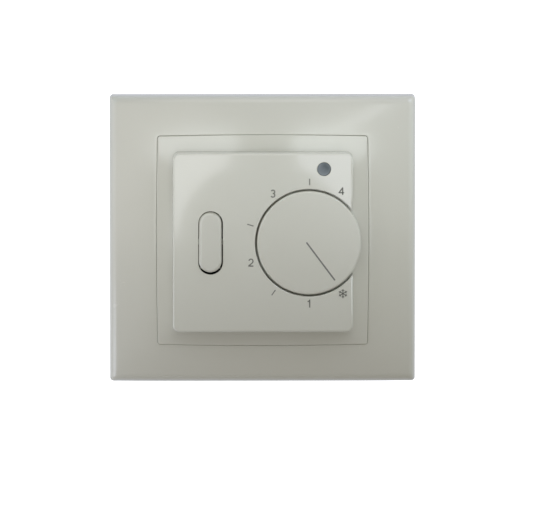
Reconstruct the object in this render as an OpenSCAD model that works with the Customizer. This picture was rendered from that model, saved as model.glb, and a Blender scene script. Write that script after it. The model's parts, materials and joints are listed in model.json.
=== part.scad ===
// Flush-mounted dial thermostat for electric heating: a 50 mm cover in an adapter ring and an outer frame.
// Millimetres. Drawn face-on (x to the right, y up, z out of the wall) and stood up by on_wall(),
// so that the finished part has +Z up, its face towards -Y and the wall surface in the plane y = 0.

/* [Outer frame] */
// Overall width of the outer frame
frame_w = 85; // [80:0.5:104]
// Overall height of the outer frame
frame_h = 80; // [76:0.5:98]
// Height of the frame's outer edge above the wall
frame_edge_z = 6.2; // [5:0.1:7.5]
// Height of the frame's face beside its opening
frame_crest_z = 9.5; // [8.6:0.1:11.5]
// Thickness of the frame's walls
frame_wall = 1.6; // [1.2:0.1:2]
// Radius of the frame's outer corners
frame_corner_r = 1; // [0.6:0.1:2]

/* [Adapter ring] */
// Width of the ring's visible band around the cover
ring_band = 4; // [3.2:0.1:5]
// How far each side of the ring bows outwards at its middle
ring_bow = 0.35; // [0.1:0.05:0.6]
// Height that the ring rises from its outer edge to the cover
ring_rise = 0.9; // [0.3:0.1:1.2]

/* [Front cover] */
// Side of the square cover
cover_w = 50; // [46:0.5:60]
// Height of the cover's face above the wall
cover_face_z = 15.3; // [14.8:0.1:18.5]
// Thickness of the cover's face
cover_face_t = 1.8; // [1.5:0.1:2.2]
// Thickness of the cover's side walls
cover_wall = 1.6; // [1.3:0.1:1.8]
// Radius of the cover's corners
cover_corner_r = 1.9; // [1:0.1:3]

/* [Setting dial] */
// Diameter of the setting dial
dial_d = 28.9; // [24:0.1:34]
// Gap between the dial and the well around it
dial_gap = 0.6; // [0.3:0.05:0.8]
// Distance of the dial's axis to the right of the cover's centre
dial_x = 12.85; // [11:0.05:14]
// Turn from the frost stop to the highest setting, in degrees
dial_travel = 248; // [180:1:270]
// Direction of the pointer at the frost stop, in degrees from straight down, towards the right
pointer_rest = 36; // [20:1:45]
// Diameter of the potentiometer's shaft
shaft_d = 6; // [4:0.1:7]
// Radial clearance of the shaft in its bushing
shaft_clearance = 0.05; // [0.02:0.01:0.1]

/* [On-off rocker] */
// Length of the rocker key's face
rocker_len = 16.8; // [14:0.1:20]
// Width of the rocker key's face
rocker_wid = 6.2; // [5.2:0.1:7.4]
// Distance of the rocker to the left of the cover's centre
rocker_x = 14.5; // [13.5:0.1:16]
// Tilt of the key to each side of level, in degrees
rocker_tilt = 4; // [2:0.5:5]
// Clearance between the key and the cover at its sides
rocker_gap = 0.3; // [0.2:0.05:0.5]

/* [Indicator window] */
// Diameter of the indicator lens
lens_d = 3.7; // [3:0.1:4.4]
// Distance of the lens to the right of the cover's centre
lens_x = 17; // [15:0.1:18]
// Distance of the lens above the cover's centre
lens_y = 20.6; // [19:0.1:21]

/* [Support plate] */
// Side of the square steel support plate
plate_w = 71; // [70:0.5:78]
// Thickness of the support plate
plate_t = 1.2; // [1:0.1:1.6]
// Distance between two opposite wall-box screws
box_screw_pitch = 60; // [56:0.5:62]
// Width of the slots for the wall-box screws
box_slot_w = 3.8; // [3.2:0.1:4.4]
// Overall length of the slots for the wall-box screws
box_slot_len = 8; // [6:0.1:9]

/* [Rear housing] */
// Distance across the flats of the housing in the wall box
rear_w = 46; // [44:0.5:50]
// Diameter of the circle that the housing stays inside
rear_circle_d = 56; // [55:0.5:58]
// Depth of the housing behind the wall surface
rear_depth = 25.6; // [25:0.2:32]
// Thickness of the rear housing's walls
rear_wall = 1.6; // [1.2:0.1:2]
// Distance of the housing screws from the centre, along each side
screw_xy = 18; // [17.5:0.1:18.4]

/* [Terminals] */
// Number of terminals
terminal_count = 6; // [4:1:6]
// Distance between neighbouring terminals
terminal_pitch = 5.5; // [5:0.1:5.6]
// Side of the square wire entries
wire_entry = 3.8; // [3.2:0.1:3.9]

/* [Hidden] */
$fn = 64;

// a cut runs this far past the face that it opens
past = 1;
// clearance between pieces that drop over or into each other
loose = 0.2;
// clearance between pieces that move past each other
free = 0.3;

// ---- frame, ring and cover
ring_half = cover_w / 2 + ring_band;
ring_gap = 0.2;
opening_half = ring_half + ring_gap;
ring_edge_z = frame_crest_z - 0.2;
ring_inner_half = cover_w / 2 + free;
ring_ledge_t = 1.2;
ring_ledge_w = 1.9;
ring_base_z = 4.6;
ring_wall = 1.2;
frame_lip_w = 2.2;
frame_lip_t = 2;
skirt_z = ring_base_z + ring_ledge_t;
cover_under_z = cover_face_z - cover_face_t;
screw_head_notch = 10;
// the frame's crest lies this far inside the edge of its opening
crest_inset = 0.6;

// ---- dial and its well
dial_r = dial_d / 2;
dial_base_z = cover_face_z - 2.9;
dial_face_t = 1.5;
dial_rim_t = 1.5;
dial_under_z = cover_face_z - dial_face_t;
well_r = dial_r + dial_gap;
well_wall = 1.2;
well_floor_z = dial_base_z - 0.4;
well_floor_t = 1.2;
hub_r = shaft_d / 2 + 2;
hub_base_z = well_floor_z - well_floor_t + 0.2;
hub_hole_r = hub_r + 0.6;
limit_t = 0.7;
tab_reach = dial_r - dial_rim_t - 1.75;
tab_half = 1;
retainer_t = 0.25;
peg_orbit = tab_reach - 1;
peg_r = 0.8;
limit_r = peg_orbit - peg_r - 1;
peg_angle = 135;
stop_clearance = 0.05;
stop_offset = asin((tab_half + peg_r + stop_clearance) / peg_orbit);
shaft_r = shaft_d / 2;
flat_depth = 0.2 * shaft_d;

// ---- front housing and what stands on the control board
front_w = cover_w - 2 * cover_wall - 2 * 0.4;
front_wall = 1.4;
front_top_z = well_floor_z - well_floor_t - 0.4;
front_floor_t = 1.4;
board_t = 1.6;
control_z = 4.6;
control_top = control_z + board_t;
board_side = front_w - 2 * front_wall - 2 * free;
pot_side = 12;
pot_top_z = front_top_z - 0.2;
pot_floor_t = 0.6;
bushing_r = shaft_r + 1;
cover_screw_orbit = 11.2;
cover_screw_angle = 225;
cover_screw_x = dial_x + cover_screw_orbit * cos(cover_screw_angle);
cover_screw_y = cover_screw_orbit * sin(cover_screw_angle);
cover_screw_r = 1.3;
cover_head_r = 2.1;
cover_head_t = 1.1;
boss_r = 2.4;
board_screw_y = board_side / 2 - 2.2;

// ---- rocker switch
key_proud = 0.55;
key_top_z = cover_face_z + key_proud;
end_gap = rocker_gap + 0.15;
pivot_z = cover_under_z - 1.5;
trunnion_r = 0.8;
trunnion_fit = 0.05;
key_body_w = rocker_wid - 0.8;
key_body_len = rocker_len - 2;
key_body_z = pivot_z - 1.8;
switch_wall = 1;
switch_inner_w = rocker_wid + 2 * free;
switch_inner_len = rocker_len + 2 * end_gap;
switch_top_z = cover_under_z - 0.1;
switch_floor_t = 0.7;
switch_floor_z = control_top + switch_floor_t;
plunger_r = 1.2;
plunger_bore_r = plunger_r + 0.05;
plunger_bore_top = cover_under_z + 0.3;
plunger_tip_r = 0.9;
contact_tilt = 2 * rocker_tilt;
contact_arm = 4.6;
contact_half = contact_arm + 1;
contact_w = 2.8;
contact_t = 0.4;
button_r = 0.9;
button_t = 0.3;
fixed_top_z = switch_floor_z + 0.4;
seesaw_z = fixed_top_z + 0.03 + contact_arm * sin(contact_tilt) + (button_t + contact_t / 2)
    * cos(contact_tilt)
    + button_r * sin(contact_tilt);
saddle_pin_r = 0.35;
knuckle_r = 0.75;
plunger_tip_z = seesaw_z + knuckle_r + 0.08;

// ---- rear housing and main board
rear_floor_z = -rear_depth + rear_wall;
rear_in = rear_w / 2 - rear_wall;
rear_r = rear_circle_d / 2;
post_r = rear_r - sqrt(2) * screw_xy - 0.1;
screw_r = 1.2;
pilot_depth = 9;
main_top = -12.4;
main_z = main_top - board_t;
header_x = 10;
header_y = -11.5;
header_step = 2.54;
header_count = 5;
main_post_x = rear_in - 3.4;
main_post_r = 1.9;
small_screw_r = 0.9;
small_head_r = 1.7;
small_head_t = 1.1;

// ---- terminals
block_half = terminal_count * terminal_pitch / 2 + 0.7;
block_low = -22;
block_high = -13;
entry_y = -16.9;
clamp_len = 5;
clamp_z = rear_floor_z + 1.4;
window_z = clamp_z + clamp_len / 2;
terminal_screw_r = 0.9;
terminal_head_r = 1.4;

// ---- relay
relay_x = 0;
relay_y = 9.6;
relay_l = 29;
relay_w = 12.7;
relay_h = 15.7;
relay_base_t = 1.6;
relay_wall = 0.7;
relay_floor = main_top + relay_base_t;
armature_open = 3;
coil_x = -6;
coil_r = 4.2;
coil_h = 8.6;
yoke_t = 1.2;
hinge_x = 0.6;
hinge_z = relay_floor + coil_h + yoke_t;
armature_t = 1;
blade_drop = 7;
contact_gap = 0.05;

// ================= shared shapes =================

// Stands a face-on shape on the wall
module on_wall() {
    rotate([90, 0, 0]) children();
}

// Rectangle with round corners, centred
module round_rect(w, h, r) {
    square([w - 2 * r, h], center = true);
    square([w, h - 2 * r], center = true);
    for (sx = [-1, 1], sy = [-1, 1])
        translate([sx * (w / 2 - r), sy * (h / 2 - r)]) circle(r = r);
}

// Square whose sides bow outwards, with its corners at the given half side
module bowed_square(half, bow) {
    arc_r = (half * half + bow * bow) / (2 * bow);
    intersection() {
        for (turn = [0 : 90 : 270])
            rotate(turn) translate([half + bow - arc_r, 0]) circle(r = arc_r, $fn = 720);
        square(2 * (half + bow), center = true);
    }
}

// Slot with round ends, centred, along y
module pill(w, l) {
    square([w, l - w], center = true);
    for (s = [-1, 1]) translate([0, s * (l - w) / 2]) circle(d = w);
}

// Height range of a plan shape
module slab(z0, z1) {
    translate([0, 0, z0]) linear_extrude(height = z1 - z0) children();
}

// Places a piece at the four housing screws
module at_housing_screws() {
    for (sx = [-1, 1], sy = [-1, 1])
        translate([sx * screw_xy, sy * screw_xy, 0]) children();
}

// Places a piece at each terminal
module at_terminals() {
    for (i = [0 : terminal_count - 1])
        translate([(i - (terminal_count - 1) / 2) * terminal_pitch, 0, 0]) children();
}

// Outline of everything that goes into the wall box
module rear_outline(inset) {
    intersection() {
        square(rear_w - 2 * inset, center = true);
        circle(r = rear_r - inset);
    }
}

// Cross-slotted pan-head screw, head upwards at z = 0
module pan_screw(shank_r, shank_len, head_r, head_t) {
    difference() {
        union() {
            cylinder(r = head_r, h = head_t);
            translate([0, 0, -shank_len]) cylinder(r = shank_r, h = shank_len + head_t / 2);
        }
        for (turn = [0, 90])
            rotate(turn) translate([-head_r * 0.65, -head_r * 0.12, head_t * 0.45])
                cube([head_r * 1.3, head_r * 0.24, head_t]);
    }
}

// ================= frame, ring and cover =================

// Cushion section across the frame: one arc that passes the face beside the opening and the outer edge
module cushion_section(half, crest, edge, floor_z) {
    near = opening_half - crest_inset;
    centre = (near * near + crest * crest - half * half - edge * edge) / (2 * (crest - edge));
    arc_r = sqrt(half * half + pow(edge - centre, 2));
    intersection() {
        translate([0, centre]) circle(r = arc_r, $fn = 720);
        translate([-half - past, floor_z]) square([2 * (half + past), arc_r]);
    }
}

// Solid cushion, mitred where its two sections meet, or the hollow inside its walls
module cushion(inset, floor_z) {
    crest = frame_crest_z - inset;
    edge = frame_edge_z - inset;
    w = frame_w / 2 - inset;
    h = frame_h / 2 - inset;
    intersection() {
        translate([0, h + past, 0]) rotate([90, 0, 0])
            linear_extrude(height = 2 * (h + past)) cushion_section(w, crest, edge, floor_z);
        translate([-w - past, 0, 0]) rotate([90, 0, 90])
            linear_extrude(height = 2 * (w + past)) cushion_section(h, crest, edge, floor_z);
        slab(floor_z, 2 * frame_crest_z) round_rect(2 * w, 2 * h, max(frame_corner_r - inset, 0.3));
    }
}

module outer_frame() {
    lip_in = opening_half - frame_lip_w;
    color("ivory") on_wall() difference() {
        cushion(0, 0);
        difference() {
            cushion(frame_wall, -past);
            slab(plate_t, 2 * frame_crest_z) bowed_square(opening_half + frame_wall, ring_bow);
        }
        slab(ring_base_z, 2 * frame_crest_z) bowed_square(opening_half, ring_bow);
        slab(-past, frame_crest_z) square(2 * lip_in, center = true);
        slab(-past, ring_base_z - frame_lip_t) bowed_square(opening_half, ring_bow);
        for (turn = [0 : 90 : 270])
            rotate(turn) translate([box_screw_pitch / 2 - screw_head_notch / 2, -screw_head_notch / 2, -past])
                cube([screw_head_notch, screw_head_notch, ring_base_z + past]);
    }
}

module adapter_ring() {
    ledge_in = ring_inner_half - ring_ledge_w;
    slope_h = ring_rise;
    color("ivory") on_wall() difference() {
        intersection() {
            slab(ring_base_z, ring_edge_z + slope_h) bowed_square(ring_half, ring_bow);
            union() {
                for (turn = [0, 90]) rotate(turn) ring_roof();
            }
        }
        slab(skirt_z, ring_edge_z + 2 * past) round_rect(2 * ring_inner_half, 2 * ring_inner_half,
            cover_corner_r);
        slab(ring_base_z - past, skirt_z + past) square(2 * ledge_in, center = true);
        difference() {
            slab(ring_base_z - past, ring_edge_z - ring_wall)
                square(2 * (ring_half - ring_wall), center = true);
            slab(ring_base_z - 2 * past, ring_edge_z) square(2 * (ring_inner_half + ring_wall), center = true);
        }
    }
}

// Low ridge roof that gives the ring its outward slope; two of them, crossed, make the whole ring
module ring_roof() {
    far = ring_half + ring_bow;
    translate([0, far, 0]) rotate([90, 0, 0]) linear_extrude(height = 2 * far)
        polygon([[-far, ring_base_z], [far, ring_base_z], [far, ring_edge_z],
            [ring_inner_half, ring_edge_z + ring_rise], [-ring_inner_half, ring_edge_z + ring_rise],
            [-far, ring_edge_z]]);
}

module cover_plan(inset) {
    round_rect(cover_w - 2 * inset, cover_w - 2 * inset, max(cover_corner_r - inset, 0.4));
}

module front_cover() {
    recess_z = well_floor_z - cover_head_t - 0.1;
    color("ivory") on_wall() difference() {
        union() {
            difference() {
                slab(skirt_z, cover_face_z) cover_plan(0);
                slab(skirt_z - past, cover_under_z) cover_plan(cover_wall);
            }
            slab(well_floor_z - well_floor_t, cover_under_z) intersection() {
                translate([dial_x, 0]) circle(r = well_r + well_wall);
                cover_plan(0);
            }
            translate([cover_screw_x, cover_screw_y, front_top_z])
                cylinder(r = cover_head_r + 0.9, h = well_floor_z - front_top_z);
        }
        translate([dial_x, 0, well_floor_z]) cylinder(r = well_r, h = cover_face_z);
        translate([dial_x, 0, 0]) cylinder(r = hub_hole_r, h = cover_face_z);
        translate([cover_screw_x, cover_screw_y, recess_z])
            cylinder(r = cover_head_r + loose, h = cover_face_z);
        translate([cover_screw_x, cover_screw_y, 0]) cylinder(r = cover_screw_r + loose, h = cover_face_z);
        translate([lens_x, lens_y, 0]) cylinder(d = lens_d + 0.1, h = cover_face_z + past);
        translate([-rocker_x, 0, 0]) slab(0, cover_face_z + past)
            pill(rocker_wid + 2 * rocker_gap, rocker_len + 2 * end_gap);
    }
    color("ivory") on_wall() translate([dial_x, 0, 0]) rotate(peg_angle)
        translate([peg_orbit, 0, well_floor_z - 0.3])
            cylinder(r = peg_r, h = dial_under_z - 0.2 - well_floor_z + 0.3);
}

module cover_screw() {
    color("silver") on_wall() translate([cover_screw_x, cover_screw_y, well_floor_z - cover_head_t - 0.1])
        pan_screw(cover_screw_r, well_floor_z - cover_head_t - control_top - 0.6, cover_head_r, cover_head_t);
}

module led_lens() {
    lens_r = lens_d / 2;
    color("slategray") on_wall() translate([lens_x, lens_y, 0]) {
        translate([0, 0, cover_under_z - 1]) cylinder(r = lens_r, h = cover_face_t + 0.6);
        translate([0, 0, cover_under_z - 1]) cylinder(r = lens_r + 0.6, h = 1);
        translate([0, 0, control_top + 1.7]) cylinder(r = 1.1, h = cover_under_z - control_top - 2.2);
    }
}

// ================= dial =================

module setting_dial() {
    color("ivory") on_wall() translate([dial_x, 0, 0]) {
        rotate_extrude() polygon([[0, cover_face_z], [dial_r - 0.5, cover_face_z], [dial_r,
            cover_face_z - 0.5],
            [dial_r, dial_base_z], [dial_r - dial_rim_t, dial_base_z], [dial_r - dial_rim_t, dial_under_z],
            [0, dial_under_z]]);
        difference() {
            translate([0, 0, hub_base_z]) cylinder(r = hub_r, h = dial_under_z - hub_base_z + 0.3);
            shaft_shape(hub_base_z - past, dial_under_z);
        }
    }
}

// Round shaft end with a flat along one side
module shaft_shape(z0, z1) {
    slab(z0, z1) intersection() {
        circle(r = shaft_r);
        translate([-shaft_d, flat_depth - shaft_r]) square([2 * shaft_d, shaft_d]);
    }
}

// Flat ring with one tab, turned so that the tab points the given way
module limit_ring(z, tab_angle) {
    on_wall() translate([dial_x, 0, 0]) difference() {
        union() {
            translate([0, 0, z]) cylinder(r = limit_r, h = limit_t);
            rotate(tab_angle) translate([limit_r - 1, -tab_half, z])
                cube([tab_reach - limit_r + 1, 2 * tab_half, limit_t]);
        }
        translate([0, 0, z - past]) cylinder(r = hub_r, h = limit_t + 2 * past);
    }
}

module max_limit_ring() {
    color("firebrick") limit_ring(dial_under_z - limit_t, peg_angle + stop_offset + dial_travel);
}

module min_limit_ring() {
    color("royalblue") limit_ring(dial_under_z - 2 * limit_t, peg_angle - stop_offset);
}

module ring_retainer() {
    color("silver") on_wall() translate([dial_x, 0, dial_under_z - 2 * limit_t - retainer_t]) difference() {
        cylinder(r = limit_r - 0.8, h = retainer_t);
        translate([0, 0, -past]) cylinder(r = hub_r, h = retainer_t + 2 * past);
    }
}

// ================= potentiometer =================

module pot_case() {
    wall = 0.8;
    bush_top = hub_base_z - 0.2;
    color("steelblue") on_wall() translate([dial_x, 0, 0]) difference() {
        union() {
            slab(control_top, pot_top_z) square(pot_side, center = true);
            slab(control_top, bush_top) circle(r = bushing_r);
        }
        slab(control_top + pot_floor_t, pot_top_z - wall) circle(r = pot_side / 2 - wall);
        slab(control_top + pot_floor_t, bush_top + past) circle(r = shaft_r + shaft_clearance);
    }
}

module pot_track() {
    color("black") on_wall() translate([dial_x, 0, 0]) difference() {
        slab(control_top + pot_floor_t, control_top + pot_floor_t + 0.5) circle(r = pot_side / 2 - 0.9);
        slab(control_top, control_top + 3) circle(r = 2.4);
    }
}

module pot_wiper() {
    z = control_top + pot_floor_t + 0.8;
    color("gold") on_wall() translate([dial_x, 0, 0]) rotate(-90 + pointer_rest) difference() {
        union() {
            slab(z, z + 0.5) circle(r = shaft_r + 0.9);
            slab(z, z + 0.3) translate([1, -0.8]) square([3.9, 1.6]);
        }
        slab(z - past, z + past) circle(r = shaft_r);
    }
}

module pot_shaft() {
    z0 = control_top + pot_floor_t + 0.6;
    color("silver") on_wall() translate([dial_x, 0, 0]) {
        slab(z0, hub_base_z - 0.1) circle(r = shaft_r);
        shaft_shape(hub_base_z - 0.2, dial_under_z - 0.1);
    }
}

// ================= rocker switch =================

// Places a piece in the key's own frame, tipped with its upper end pressed in
module on_key() {
    on_wall() translate([-rocker_x, 0, pivot_z]) rotate([-rocker_tilt, 0, 0])
        translate([0, 0, -pivot_z]) children();
}

module rocker_key() {
    trunnion_len = switch_inner_w + 2 * switch_wall - 0.2;
    color("ivory") on_key() difference() {
        union() {
            slab(cover_under_z - 0.4, key_top_z) pill(rocker_wid, rocker_len);
            slab(key_body_z, cover_under_z) square([key_body_w, key_body_len], center = true);
            translate([-trunnion_len / 2, 0, pivot_z]) rotate([0, 90, 0])
                cylinder(r = trunnion_r, h = trunnion_len);
        }
        slab(key_body_z - past, plunger_bore_top) circle(r = plunger_bore_r);
    }
}

module rocker_plunger() {
    guide_top = key_body_z + 1.2;
    color("whitesmoke") on_key() {
        slab(key_body_z + 0.1, guide_top) circle(r = plunger_r);
        slab(plunger_tip_z + plunger_tip_r, key_body_z + 0.2) circle(r = plunger_tip_r);
        translate([0, 0, plunger_tip_z + plunger_tip_r]) sphere(r = plunger_tip_r);
    }
}

module rocker_spring() {
    wire_r = 0.14;
    coil = plunger_r - 0.05 - wire_r;
    z0 = key_body_z + 1.2;
    turns = 4;
    rise = (plunger_bore_top - z0 - 2 * wire_r) / (turns - 1);
    color("silver") on_key() for (i = [0 : turns - 1])
        translate([0, 0, z0 + wire_r + i * rise]) rotate_extrude() translate([coil, 0])
            circle(r = wire_r, $fn = 24);
}

module switch_housing() {
    color("dimgray") on_wall() translate([-rocker_x, 0, 0]) difference() {
        slab(control_top, switch_top_z)
            square([switch_inner_w + 2 * switch_wall, switch_inner_len + 2 * switch_wall], center = true);
        slab(switch_floor_z, switch_top_z + past) square([switch_inner_w, switch_inner_len], center = true);
        translate([-10, 0, pivot_z]) rotate([0, 90, 0]) cylinder(r = trunnion_r + trunnion_fit, h = 20);
    }
}

// Rocking contact strip on its saddle, tipped onto the fixed contact
module switch_contact() {
    color("gold") on_wall() translate([-rocker_x, 0, seesaw_z]) rotate([contact_tilt, 0, 0]) difference() {
        contact_strip();
        translate([-contact_w, 0, 0]) rotate([0, 90, 0])
            cylinder(r = saddle_pin_r + trunnion_fit, h = 2 * contact_w);
    }
}

module contact_strip() {
    union() {
        translate([-contact_w / 2, -contact_half, -contact_t / 2])
            cube([contact_w, 2 * contact_half, contact_t]);
        translate([0, -contact_arm, -contact_t / 2 - button_t]) cylinder(r = button_r, h = button_t + 0.1);
        translate([-contact_w / 2, 0, 0]) rotate([0, 90, 0]) cylinder(r = knuckle_r, h = contact_w);
    }
}

// Two ears with the pin that the contact strip rocks on
module switch_saddle() {
    ear_in = contact_w / 2 + 0.2;
    ear_t = 0.6;
    pin_half = ear_in + ear_t;
    color("peru") on_wall() translate([-rocker_x, 0, 0]) {
        for (s = [-1, 1]) translate([s * (ear_in + ear_t / 2) - ear_t / 2, 0, 0]) rotate([90, 0, 90])
            linear_extrude(height = ear_t)
                polygon([[-1.2, switch_floor_z], [1.2, switch_floor_z], [0.6, seesaw_z + 0.5], [-0.6,
                    seesaw_z + 0.5]]);
        translate([-pin_half, -1.2, switch_floor_z]) cube([2 * pin_half, 2.4, 0.3]);
        translate([-pin_half, 0, seesaw_z]) rotate([0, 90, 0]) cylinder(r = saddle_pin_r, h = 2 * pin_half);
    }
}

module switch_fixed_contact() {
    color("peru") on_wall() translate([-rocker_x, -contact_arm, switch_floor_z])
        cylinder(r = button_r + 0.3, h = fixed_top_z - switch_floor_z);
}

// ================= front housing and control board =================

module front_housing() {
    window_x = 15.4;
    window_low = -15.4;
    window_high = 17.4;
    switch_w = switch_inner_w + 2 * switch_wall + 2 * free;
    switch_l = switch_inner_len + 2 * switch_wall + 2 * free;
    pot_w = pot_side + 2 * free;
    pad_t = 1.4;
    board_post_r = 1.9;
    color("gainsboro") on_wall() difference() {
        union() {
            difference() {
                slab(plate_t, front_top_z) square(front_w, center = true);
                slab(plate_t + pad_t, front_top_z - front_wall)
                    square(front_w - 2 * front_wall, center = true);
            }
            translate([cover_screw_x, cover_screw_y, control_top + 0.2])
                cylinder(r = boss_r, h = front_top_z - control_top - 0.4);
            for (s = [-1, 1])
                translate([0, s * board_screw_y, control_top])
                    cylinder(r = board_post_r, h = front_top_z - control_top - 0.3);
        }
        slab(plate_t - past, plate_t + 2 * pad_t) translate([-window_x, window_low])
            square([2 * window_x, window_high - window_low]);
        at_housing_screws() cylinder(r = screw_r + loose, h = control_z);
        slab(front_top_z - 2 * front_wall, front_top_z + past) {
            translate([dial_x, 0]) square(pot_w, center = true);
            translate([-rocker_x, 0]) square([switch_w, switch_l], center = true);
            translate([lens_x, lens_y]) square(2 * (1.1 + free), center = true);
        }
        translate([cover_screw_x, cover_screw_y, control_top]) cylinder(r = cover_screw_r, h = front_top_z);
        for (s = [-1, 1])
            translate([0, s * board_screw_y, control_top - past]) cylinder(r = small_screw_r, h = 3.4 + past);
    }
}

module control_board() {
    color("seagreen") on_wall() slab(control_z, control_top) difference() {
        square(board_side, center = true);
        for (s = [-1, 1]) translate([0, s * board_screw_y]) circle(r = small_screw_r + 0.1);
        header_places() square(0.9, center = true);
    }
}

module control_board_screws() {
    color("silver") on_wall() for (s = [-1, 1])
        translate([0, s * board_screw_y, control_z]) rotate([180, 0, 0])
            pan_screw(small_screw_r, board_t + 3.2, small_head_r, small_head_t);
}

module indicator_led() {
    color("lightyellow") on_wall() translate([lens_x - 1.2, lens_y - 1.2, control_top]) cube([2.4, 1.8, 1.2]);
}

module control_chip() {
    body_l = 9;
    body_w = 4;
    color("black") on_wall() translate([-4.5, 10.5, control_top]) {
        cube([body_l, body_w, 1.6]);
        for (i = [0 : 6], s = [-1, 1])
            translate([0.5 + i * 1.27, body_w / 2 + s * (body_w / 2 + 0.45) - 0.45, 0])
                cube([0.42, 0.9, 0.25]);
    }
}

// ================= support plate and rear housing =================

module support_plate() {
    cut = 9;
    window = rear_w - 2 * 3;
    reach = plate_w / 2;
    color("silver") on_wall() slab(0, plate_t) difference() {
        polygon([for (turn = [0 : 90 : 270], side = [-1, 1])
            let (a = reach, b = side * (reach - cut))
            [a * cos(turn) - b * sin(turn), a * sin(turn) + b * cos(turn)]]);
        intersection() {
            square(window, center = true);
            rotate(45) square(2 * (sqrt(2) * screw_xy - 3.4), center = true);
        }
        for (sx = [-1, 1], sy = [-1, 1]) translate([sx * screw_xy, sy * screw_xy]) circle(r = screw_r + loose);
        for (turn = [0 : 90 : 270])
            rotate(turn) translate([box_screw_pitch / 2, 0]) rotate(90) pill(box_slot_w, box_slot_len);
    }
}

module rear_housing() {
    color("gainsboro") on_wall() difference() {
        union() {
            difference() {
                slab(-rear_depth, 0) rear_outline(0);
                slab(rear_floor_z, past) rear_outline(rear_wall);
            }
            intersection() {
                at_housing_screws() translate([0, 0, -rear_depth]) cylinder(r = post_r, h = rear_depth);
                slab(-rear_depth, 0) rear_outline(0);
            }
            for (s = [-1, 1])
                translate([s * main_post_x, 0, rear_floor_z - 0.3])
                    cylinder(r = main_post_r, h = main_z - rear_floor_z + 0.3);
        }
        at_housing_screws() translate([0, 0, -pilot_depth]) cylinder(r = screw_r, h = pilot_depth + past);
        for (s = [-1, 1])
            translate([s * main_post_x, 0, main_z - 5]) cylinder(r = small_screw_r, h = 5 + past);
        translate([-block_half - loose, -rear_w / 2 - past, -rear_depth - past])
            cube([2 * block_half + 2 * loose, rear_w / 2 + past + block_high + loose,
                rear_depth + past + main_z]);
    }
}

module housing_screws() {
    color("silver") on_wall() at_housing_screws()
        translate([0, 0, plate_t + front_floor_t])
            pan_screw(screw_r, plate_t + front_floor_t + pilot_depth - 1, 2.2, 1.5);
}

module main_board() {
    color("seagreen") on_wall() slab(main_z, main_top) difference() {
        rear_outline(rear_wall + free);
        for (sx = [-1, 1], sy = [-1, 1])
            translate([sx * screw_xy, sy * screw_xy]) circle(r = post_r + free);
        for (s = [-1, 1]) translate([s * main_post_x, 0]) circle(r = small_screw_r + 0.1);
        header_places() square(0.9, center = true);
    }
}

module main_board_screws() {
    color("silver") on_wall() for (s = [-1, 1])
        translate([s * main_post_x, 0, main_top])
            pan_screw(small_screw_r, board_t + 4.5, small_head_r, small_head_t);
}

// Places a shape at each pin of the header between the boards
module header_places() {
    for (i = [0 : header_count - 1])
        translate([header_x + (i - (header_count - 1) / 2) * header_step, header_y]) children();
}

module board_header() {
    color("black") on_wall() slab(main_top, main_top + 2.5) difference() {
        translate([header_x, header_y]) square([header_count * header_step, header_step], center = true);
        header_places() square(0.7, center = true);
    }
}

module header_pins() {
    color("gold") on_wall() slab(main_z - 0.6, control_top + 0.6) header_places() square(0.64, center = true);
}

// ================= relay =================

// Places a piece in the relay's own frame
module on_relay() {
    on_wall() translate([relay_x, relay_y, 0]) children();
}

module relay_base() {
    color("dimgray") on_relay() slab(main_top, relay_floor) square([relay_l, relay_w], center = true);
}

module relay_case() {
    color("whitesmoke") on_relay() difference() {
        slab(relay_floor, main_top + relay_h) square([relay_l, relay_w], center = true);
        slab(relay_floor - past, main_top + relay_h - relay_wall)
            square([relay_l - 2 * relay_wall, relay_w - 2 * relay_wall], center = true);
    }
}

module relay_coil() {
    core_r = 1.6;
    flange_t = 0.6;
    color("darkorange") on_relay() translate([coil_x, 0, relay_floor + yoke_t]) difference() {
        union() {
            cylinder(r = coil_r, h = coil_h - 0.1);
            cylinder(r = coil_r + 0.5, h = flange_t);
            translate([0, 0, coil_h - 0.1 - flange_t]) cylinder(r = coil_r + 0.5, h = flange_t);
        }
        translate([0, 0, -past]) cylinder(r = core_r, h = coil_h + 2 * past);
    }
}

module relay_yoke() {
    core_r = 1.6;
    depth = 8;
    color("slategray") on_relay() {
        translate([coil_x - 4, -depth / 2, relay_floor])
            cube([hinge_x + yoke_t / 2 - coil_x + 4, depth, yoke_t]);
        translate([hinge_x - yoke_t / 2, -depth / 2, relay_floor])
            cube([yoke_t, depth, hinge_z - relay_floor]);
        translate([hinge_x, depth / 2, hinge_z]) rotate([90, 0, 0]) cylinder(r = yoke_t / 2, h = depth);
        translate([coil_x, 0, relay_floor + 0.1]) cylinder(r = core_r, h = hinge_z - relay_floor - 0.2);
    }
}

// Places a piece in the armature's frame, tipped open
module on_armature() {
    on_relay() translate([hinge_x, 0, hinge_z]) rotate([0, armature_open, 0]) children();
}

module relay_armature() {
    reach = hinge_x - coil_x + 3.6;
    color("slategray") on_armature() difference() {
        translate([-reach, -3.6, 0]) cube([reach + 1.2, 7.2, armature_t]);
        translate([0, 5, 0]) rotate([90, 0, 0]) cylinder(r = yoke_t / 2 + trunnion_fit, h = 10);
    }
}

module relay_moving_contact() {
    blade_x = 2;
    blade_t = 0.25;
    half = 1.8;
    color("gold") on_armature() {
        translate([-3, -half, armature_t]) cube([blade_x + 3, 2 * half, blade_t]);
        translate([blade_x, -half, -blade_drop]) cube([blade_t, 2 * half, blade_drop + armature_t + blade_t]);
        translate([blade_x + blade_t - 0.05, 0, -blade_drop + 1]) rotate([0, 90, 0])
            cylinder(r = 0.9, h = 0.5);
    }
}

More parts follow.
